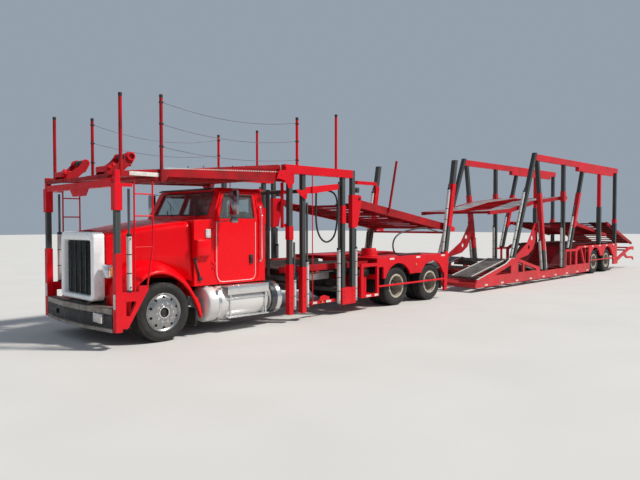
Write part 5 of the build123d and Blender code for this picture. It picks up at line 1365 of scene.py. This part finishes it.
# %% Wheel stop pieces
bm = bmesh.new()
for side in SIDES:
    for y in (side * 0.56, side * 0.98):
        lathe(bm, [(-0.014, 0.044), (-0.014, 0.066), (0.014, 0.066), (0.014, 0.044)],
              point(0.520, y, 2.880), 24, "Y")
    for index in range(14):
        angle = 2 * math.pi * index / 14
        spot = point(0.520, side * 0.90, 2.880) + Vector((0.066 * math.cos(angle), 0,
                                                          0.066 * math.sin(angle)))
        box(bm, spot - Vector((0.008, 0.010, 0.008)), spot + Vector((0.008, 0.010, 0.008)), 0.002)
    lathe(bm, [(-0.010, 0.002), (-0.010, 0.064), (0.010, 0.064), (0.010, 0.002)],
          point(0.520, side * 0.90, 2.880), 28, "Y")
    for y, height in ((0.60, 2.800), (0.94, 2.800), (0.72, 2.755)):
        tube_path(bm, [point(0.400, side * y, height - 0.06), point(0.470, side * y, height),
                       point(0.545, side * y, height - 0.02),
                       point(0.585, side * y, height + 0.05)],
                  0.014, 10)
    box(bm, point(0.430, side * 0.62, 2.735), point(0.560, side * 0.92, 2.765), 0.010)
    box(bm, point(0.240, side * 0.60, 2.640), point(0.330, side * 0.70, 2.735), 0.014)
    box(bm, point(0.250, side * 0.82, 2.640), point(0.320, side * 0.92, 2.760), 0.014)
    hexagon(bm, point(0.285, side * 0.87, 2.760), (0, 0, 1), 0.022, 0.02)
    tube_path(bm, [point(0.330, side * 0.77, 2.660), point(0.420, side * 0.77, 2.760),
                   point(0.470, side * 0.77, 2.850)], 0.016)
    box(bm, point(0.140, side * 0.58, 2.630), point(0.230, side * 0.96, 2.690), 0.012)
    tube(bm, point(0.180, side * 0.56, 2.700), point(0.180, side * 0.98, 2.700), 0.026, 16)
piece("ramp_winches", bm, paint["rack red"], "head_ramp")
bm = bmesh.new()
for side in SIDES:
    for index in range(5):
        y = side * (0.64 + index * 0.055)
        lathe(bm, [(-0.020, 0.046), (-0.014, 0.056), (0.014, 0.056), (0.020, 0.046)],
              point(0.520, y, 2.880), 20, "Y")
    tube_path(bm, [point(0.300, side * 0.70, 2.640), point(0.380, side * 0.68, 2.700),
                   point(0.440, side * 0.70, 2.780), point(0.500, side * 0.72, 2.835)], 0.010)
piece("winch_straps", bm, paint["rubber"], "head_ramp")
print("winches made")

# %% [markdown]
# ## Pump frame
# The frame between the posts and the drive wheels guards the valves and pump. Valve levers stand in
# a row, and steel pipes run from them to the posts.

# %% Valve bank and pipes
bm = bmesh.new()
for side in SIDES:
    box(bm, point(5.700, side * 0.98, 0.700), point(6.060, side * 1.10, 0.860), 0.010)
    for index in range(6):
        station = 5.735 + index * 0.058
        tube(bm, point(station, side * 1.075, 0.855), point(station, side * 1.125, 0.905), 0.006,
             10)
        bmesh.ops.create_icosphere(bm, subdivisions=2, radius=0.013,
                                   matrix=Matrix.Translation(point(station, side * 1.128, 0.908)))
piece("valve_banks", bm, dark_hub, "truck")
bm = bmesh.new()
for side in SIDES:
    for index, drop in enumerate((0.10, 0.14, 0.18)):
        low = 0.690 - index * 0.03
        tube_path(bm, [point(5.720 + index * 0.12, side * 1.04, 0.702),
                       point(5.720 + index * 0.12, side * 1.04, low - 0.10),
                       point(5.690 + index * 0.12, side * 0.90, low - drop)], 0.009, 10)
    for index in range(3):
        tube_path(bm, [point(3.66 + index * 0.022, side * 1.150, 0.86),
                       point(3.66 + index * 0.022, side * 1.150, 0.89),
                       point(5.56, side * 1.150, 0.875 + index * 0.012)], 0.006, 8)
piece("hydraulic_pipes", bm, paint["rubber"], "truck")
print("pump frame filled")

# %% [markdown]
# ## Trailer decks
# Cars climb over the nose on slotted runways, so the raised edges there are worn bright. The upper
# decks have pale galvanised treads between red rails. Each tread is a thin plate laid on the CAD
# runway, with folded edges.

# %% Runway treads
def treads(name, line, y_low, y_high, lift, material, body, edge=0.012):
    """Tread plates along a (station, height) line, on both sides of the middle."""
    bm = bmesh.new()
    for side in SIDES:
        rings = []
        for station, height in line:
            rings.append([point(station, side * y_low, height + lift - edge),
                          point(station, side * y_low, height + lift),
                          point(station, side * (y_low + 0.012), height + lift + 0.002),
                          point(station, side * (y_high - 0.012), height + lift + 0.002),
                          point(station, side * y_high, height + lift),
                          point(station, side * y_high, height + lift - edge)])
        loft(bm, rings, closed=False)
    return piece(name, bm, material, body, smooth=20)


treads("front_deck_treads", [(11.27, 2.170), (12.50, 2.245), (14.00, 2.515), (16.05, 2.710)],
       0.440, 1.066, 0.0145, tread_pale, "trailer_front_deck")
treads("rear_deck_treads", [(17.20, 1.865), (20.29, 1.420)], 0.440, 1.066, 0.0145, tread_dark,
       "trailer_rear_deck")
treads("low_runway_treads", [(3.48, 1.000), (6.05, 1.000)], 0.475, 1.035, 0.001, tread_dark,
       "truck", 0.0)
bm = bmesh.new()
for side in SIDES:
    for y in (0.452, 1.045):
        rings = []
        for station, height in ((10.44, 0.410), (12.44, 0.806), (12.52, 0.790), (14.10, 0.418)):
            rings.append([point(station, side * (y - 0.012), height - 0.004),
                          point(station, side * (y - 0.012), height + 0.010),
                          point(station, side * (y + 0.012), height + 0.010),
                          point(station, side * (y + 0.012), height - 0.004)])
        loft(bm, rings)
    rings = []
    for station, height in ((10.36, 0.333), (11.98, 0.691), (12.28, 0.830), (12.46, 0.832)):
        rings.append([point(station, side * 1.236, height - 0.002),
                      point(station, side * 1.236, height + 0.007),
                      point(station, side * 1.284, height + 0.007),
                      point(station, side * 1.284, height - 0.002)])
    loft(bm, rings)
piece("nose_skids", bm, tape, "trailer", smooth=20)
print("treads laid")

# %% [markdown]
# ## Fittings of the trailer
# The trailer carries the same tapes, lamps and pins as the truck. They could be copied, but a copy
# would keep the truck's spacing, so the same helpers are called with the trailer's own stations.

# %% Trailer tapes, lamps and pins
bm = bmesh.new()
for side in SIDES:
    tapes(bm, side, (10.75, 11.65, 12.55, 13.45, 14.35, 15.25, 16.15, 17.05, 17.95), 0.15, 0.150,
          0.195)
    tapes(bm, side, (17.75, 18.45, 19.15, 19.85, 20.60), 0.14, 0.990, 1.030)
piece("trailer_tapes", bm, tape, "trailer")
bm = bmesh.new()
for side in SIDES:
    for station, height in ((14.0, 0.250), (17.3, 0.250), (20.85, 0.90)):
        side_lamp(bm, side, station, height)
piece("trailer_side_lamps", bm, amber, "trailer")
bm = bmesh.new()
for side in SIDES:
    tail_lamps(bm, 21.061, side, (1.08, 1.20), 0.93)
piece("trailer_tail_lamps", bm, red_lens, "trailer")
bm = bmesh.new()
for side in SIDES:
    for station, height in ((16.170, 2.690), (17.120, 1.850)):
        hexagon(bm, point(station, side * 1.256, height), (0, side, 0), 0.030, 0.016)
    for station in (10.6, 11.4, 12.2, 14.3, 15.6, 16.6, 18.0):
        for drop in (0.150, 0.300):
            hexagon(bm, point(station - 0.10, side * 1.2845, drop), (0, side, 0), 0.011, 0.004)
piece("trailer_pins", bm, dark_hub, "trailer")
print("trailer details set")

# %% [markdown]
# ## Cross tubes under the decks
# Seen from below or from the side, a deck is a ladder of tubes. These extra rungs lie between the
# CAD cross bars, close under the treads.

# %% Deck rungs
def rungs(name, line, count, body, material, drop=0.014, reach=1.068):
    """Evenly spaced cross tubes under a deck whose top runs along the line."""
    bm = bmesh.new()
    (s0, z0), (s1, z1) = line
    for index in range(count):
        share = (index + 0.5) / count
        station, height = s0 + (s1 - s0) * share, z0 + (z1 - z0) * share
        box(bm, point(station - 0.020, -reach, height - drop - 0.040),
            point(station + 0.020, reach, height - drop), 0.004)
    return piece(name, bm, material, body)


for name, line, count, body, slot in (
        ("head_ramp_rungs", [(1.10, 2.634), (3.20, 2.716)], 8, "head_ramp", "red deck"),
        ("rear_deck_rungs", [(5.90, 2.2395), (8.95, 1.7733)], 10, "rear_deck", "red deck"),
        ("front_deck_rungs_low", [(11.40, 2.178), (12.40, 2.239)], 4, "trailer_front_deck",
         "rack red"),
        ("front_deck_rungs_mid", [(12.60, 2.263), (13.90, 2.497)], 5, "trailer_front_deck",
         "rack red"),
        ("front_deck_rungs_high", [(14.10, 2.5245), (16.00, 2.7053)], 7, "trailer_front_deck",
         "rack red"),
        ("rear_upper_rungs", [(17.35, 1.8434), (20.20, 1.433)], 9, "trailer_rear_deck", "red deck"),
        ("tail_deck_rungs", [(20.55, 1.819), (23.20, 1.0434)], 9, "tail_deck", "red deck")):
    rungs(name, line, count, body, paint[slot])
print("rungs laid")

# %% [markdown]
# ## Floor and light
# The floor is plain and pale, and the light is a broad soft sky with one warm, slightly soft sun
# from behind the camera, so the red side is bright and the shadows under the decks stay readable.

# %% Floor and light
floor_mesh = bpy.data.meshes.new("floor")
floor_mesh.from_pydata([(-80, -80, 0), (90, -80, 0), (90, 90, 0), (-80, 90, 0)], [], [(0, 1, 2, 3)])
floor = bpy.data.objects.new("floor", floor_mesh)
bpy.context.scene.collection.objects.link(floor)
floor_mesh.materials.append(finish_of("pale_floor", (0.56, 0.55, 0.53), (0.50, 0.49, 0.47), 0.5,
                                      (0.7, 0.85), patch=0.6, edge=0))
sun = bpy.data.objects.new("sun", bpy.data.lights.new("sun", "SUN"))
sun.data.energy = 4.4
sun.data.angle = math.radians(6)
sun.data.color = (1.0, 0.96, 0.9)
sun.rotation_euler = Vector((-0.25, 0.30, -0.45)).to_track_quat("-Z", "Y").to_euler()
bpy.context.scene.collection.objects.link(sun)
world = bpy.data.worlds.new("sky")
bpy.context.scene.world = world
world.use_nodes = True
world.node_tree.nodes["Background"].inputs["Color"].default_value = (0.72, 0.84, 1.0, 1)
world.node_tree.nodes["Background"].inputs["Strength"].default_value = 0.42
bpy.context.scene.view_settings.view_transform = "Standard"
print("light ready")
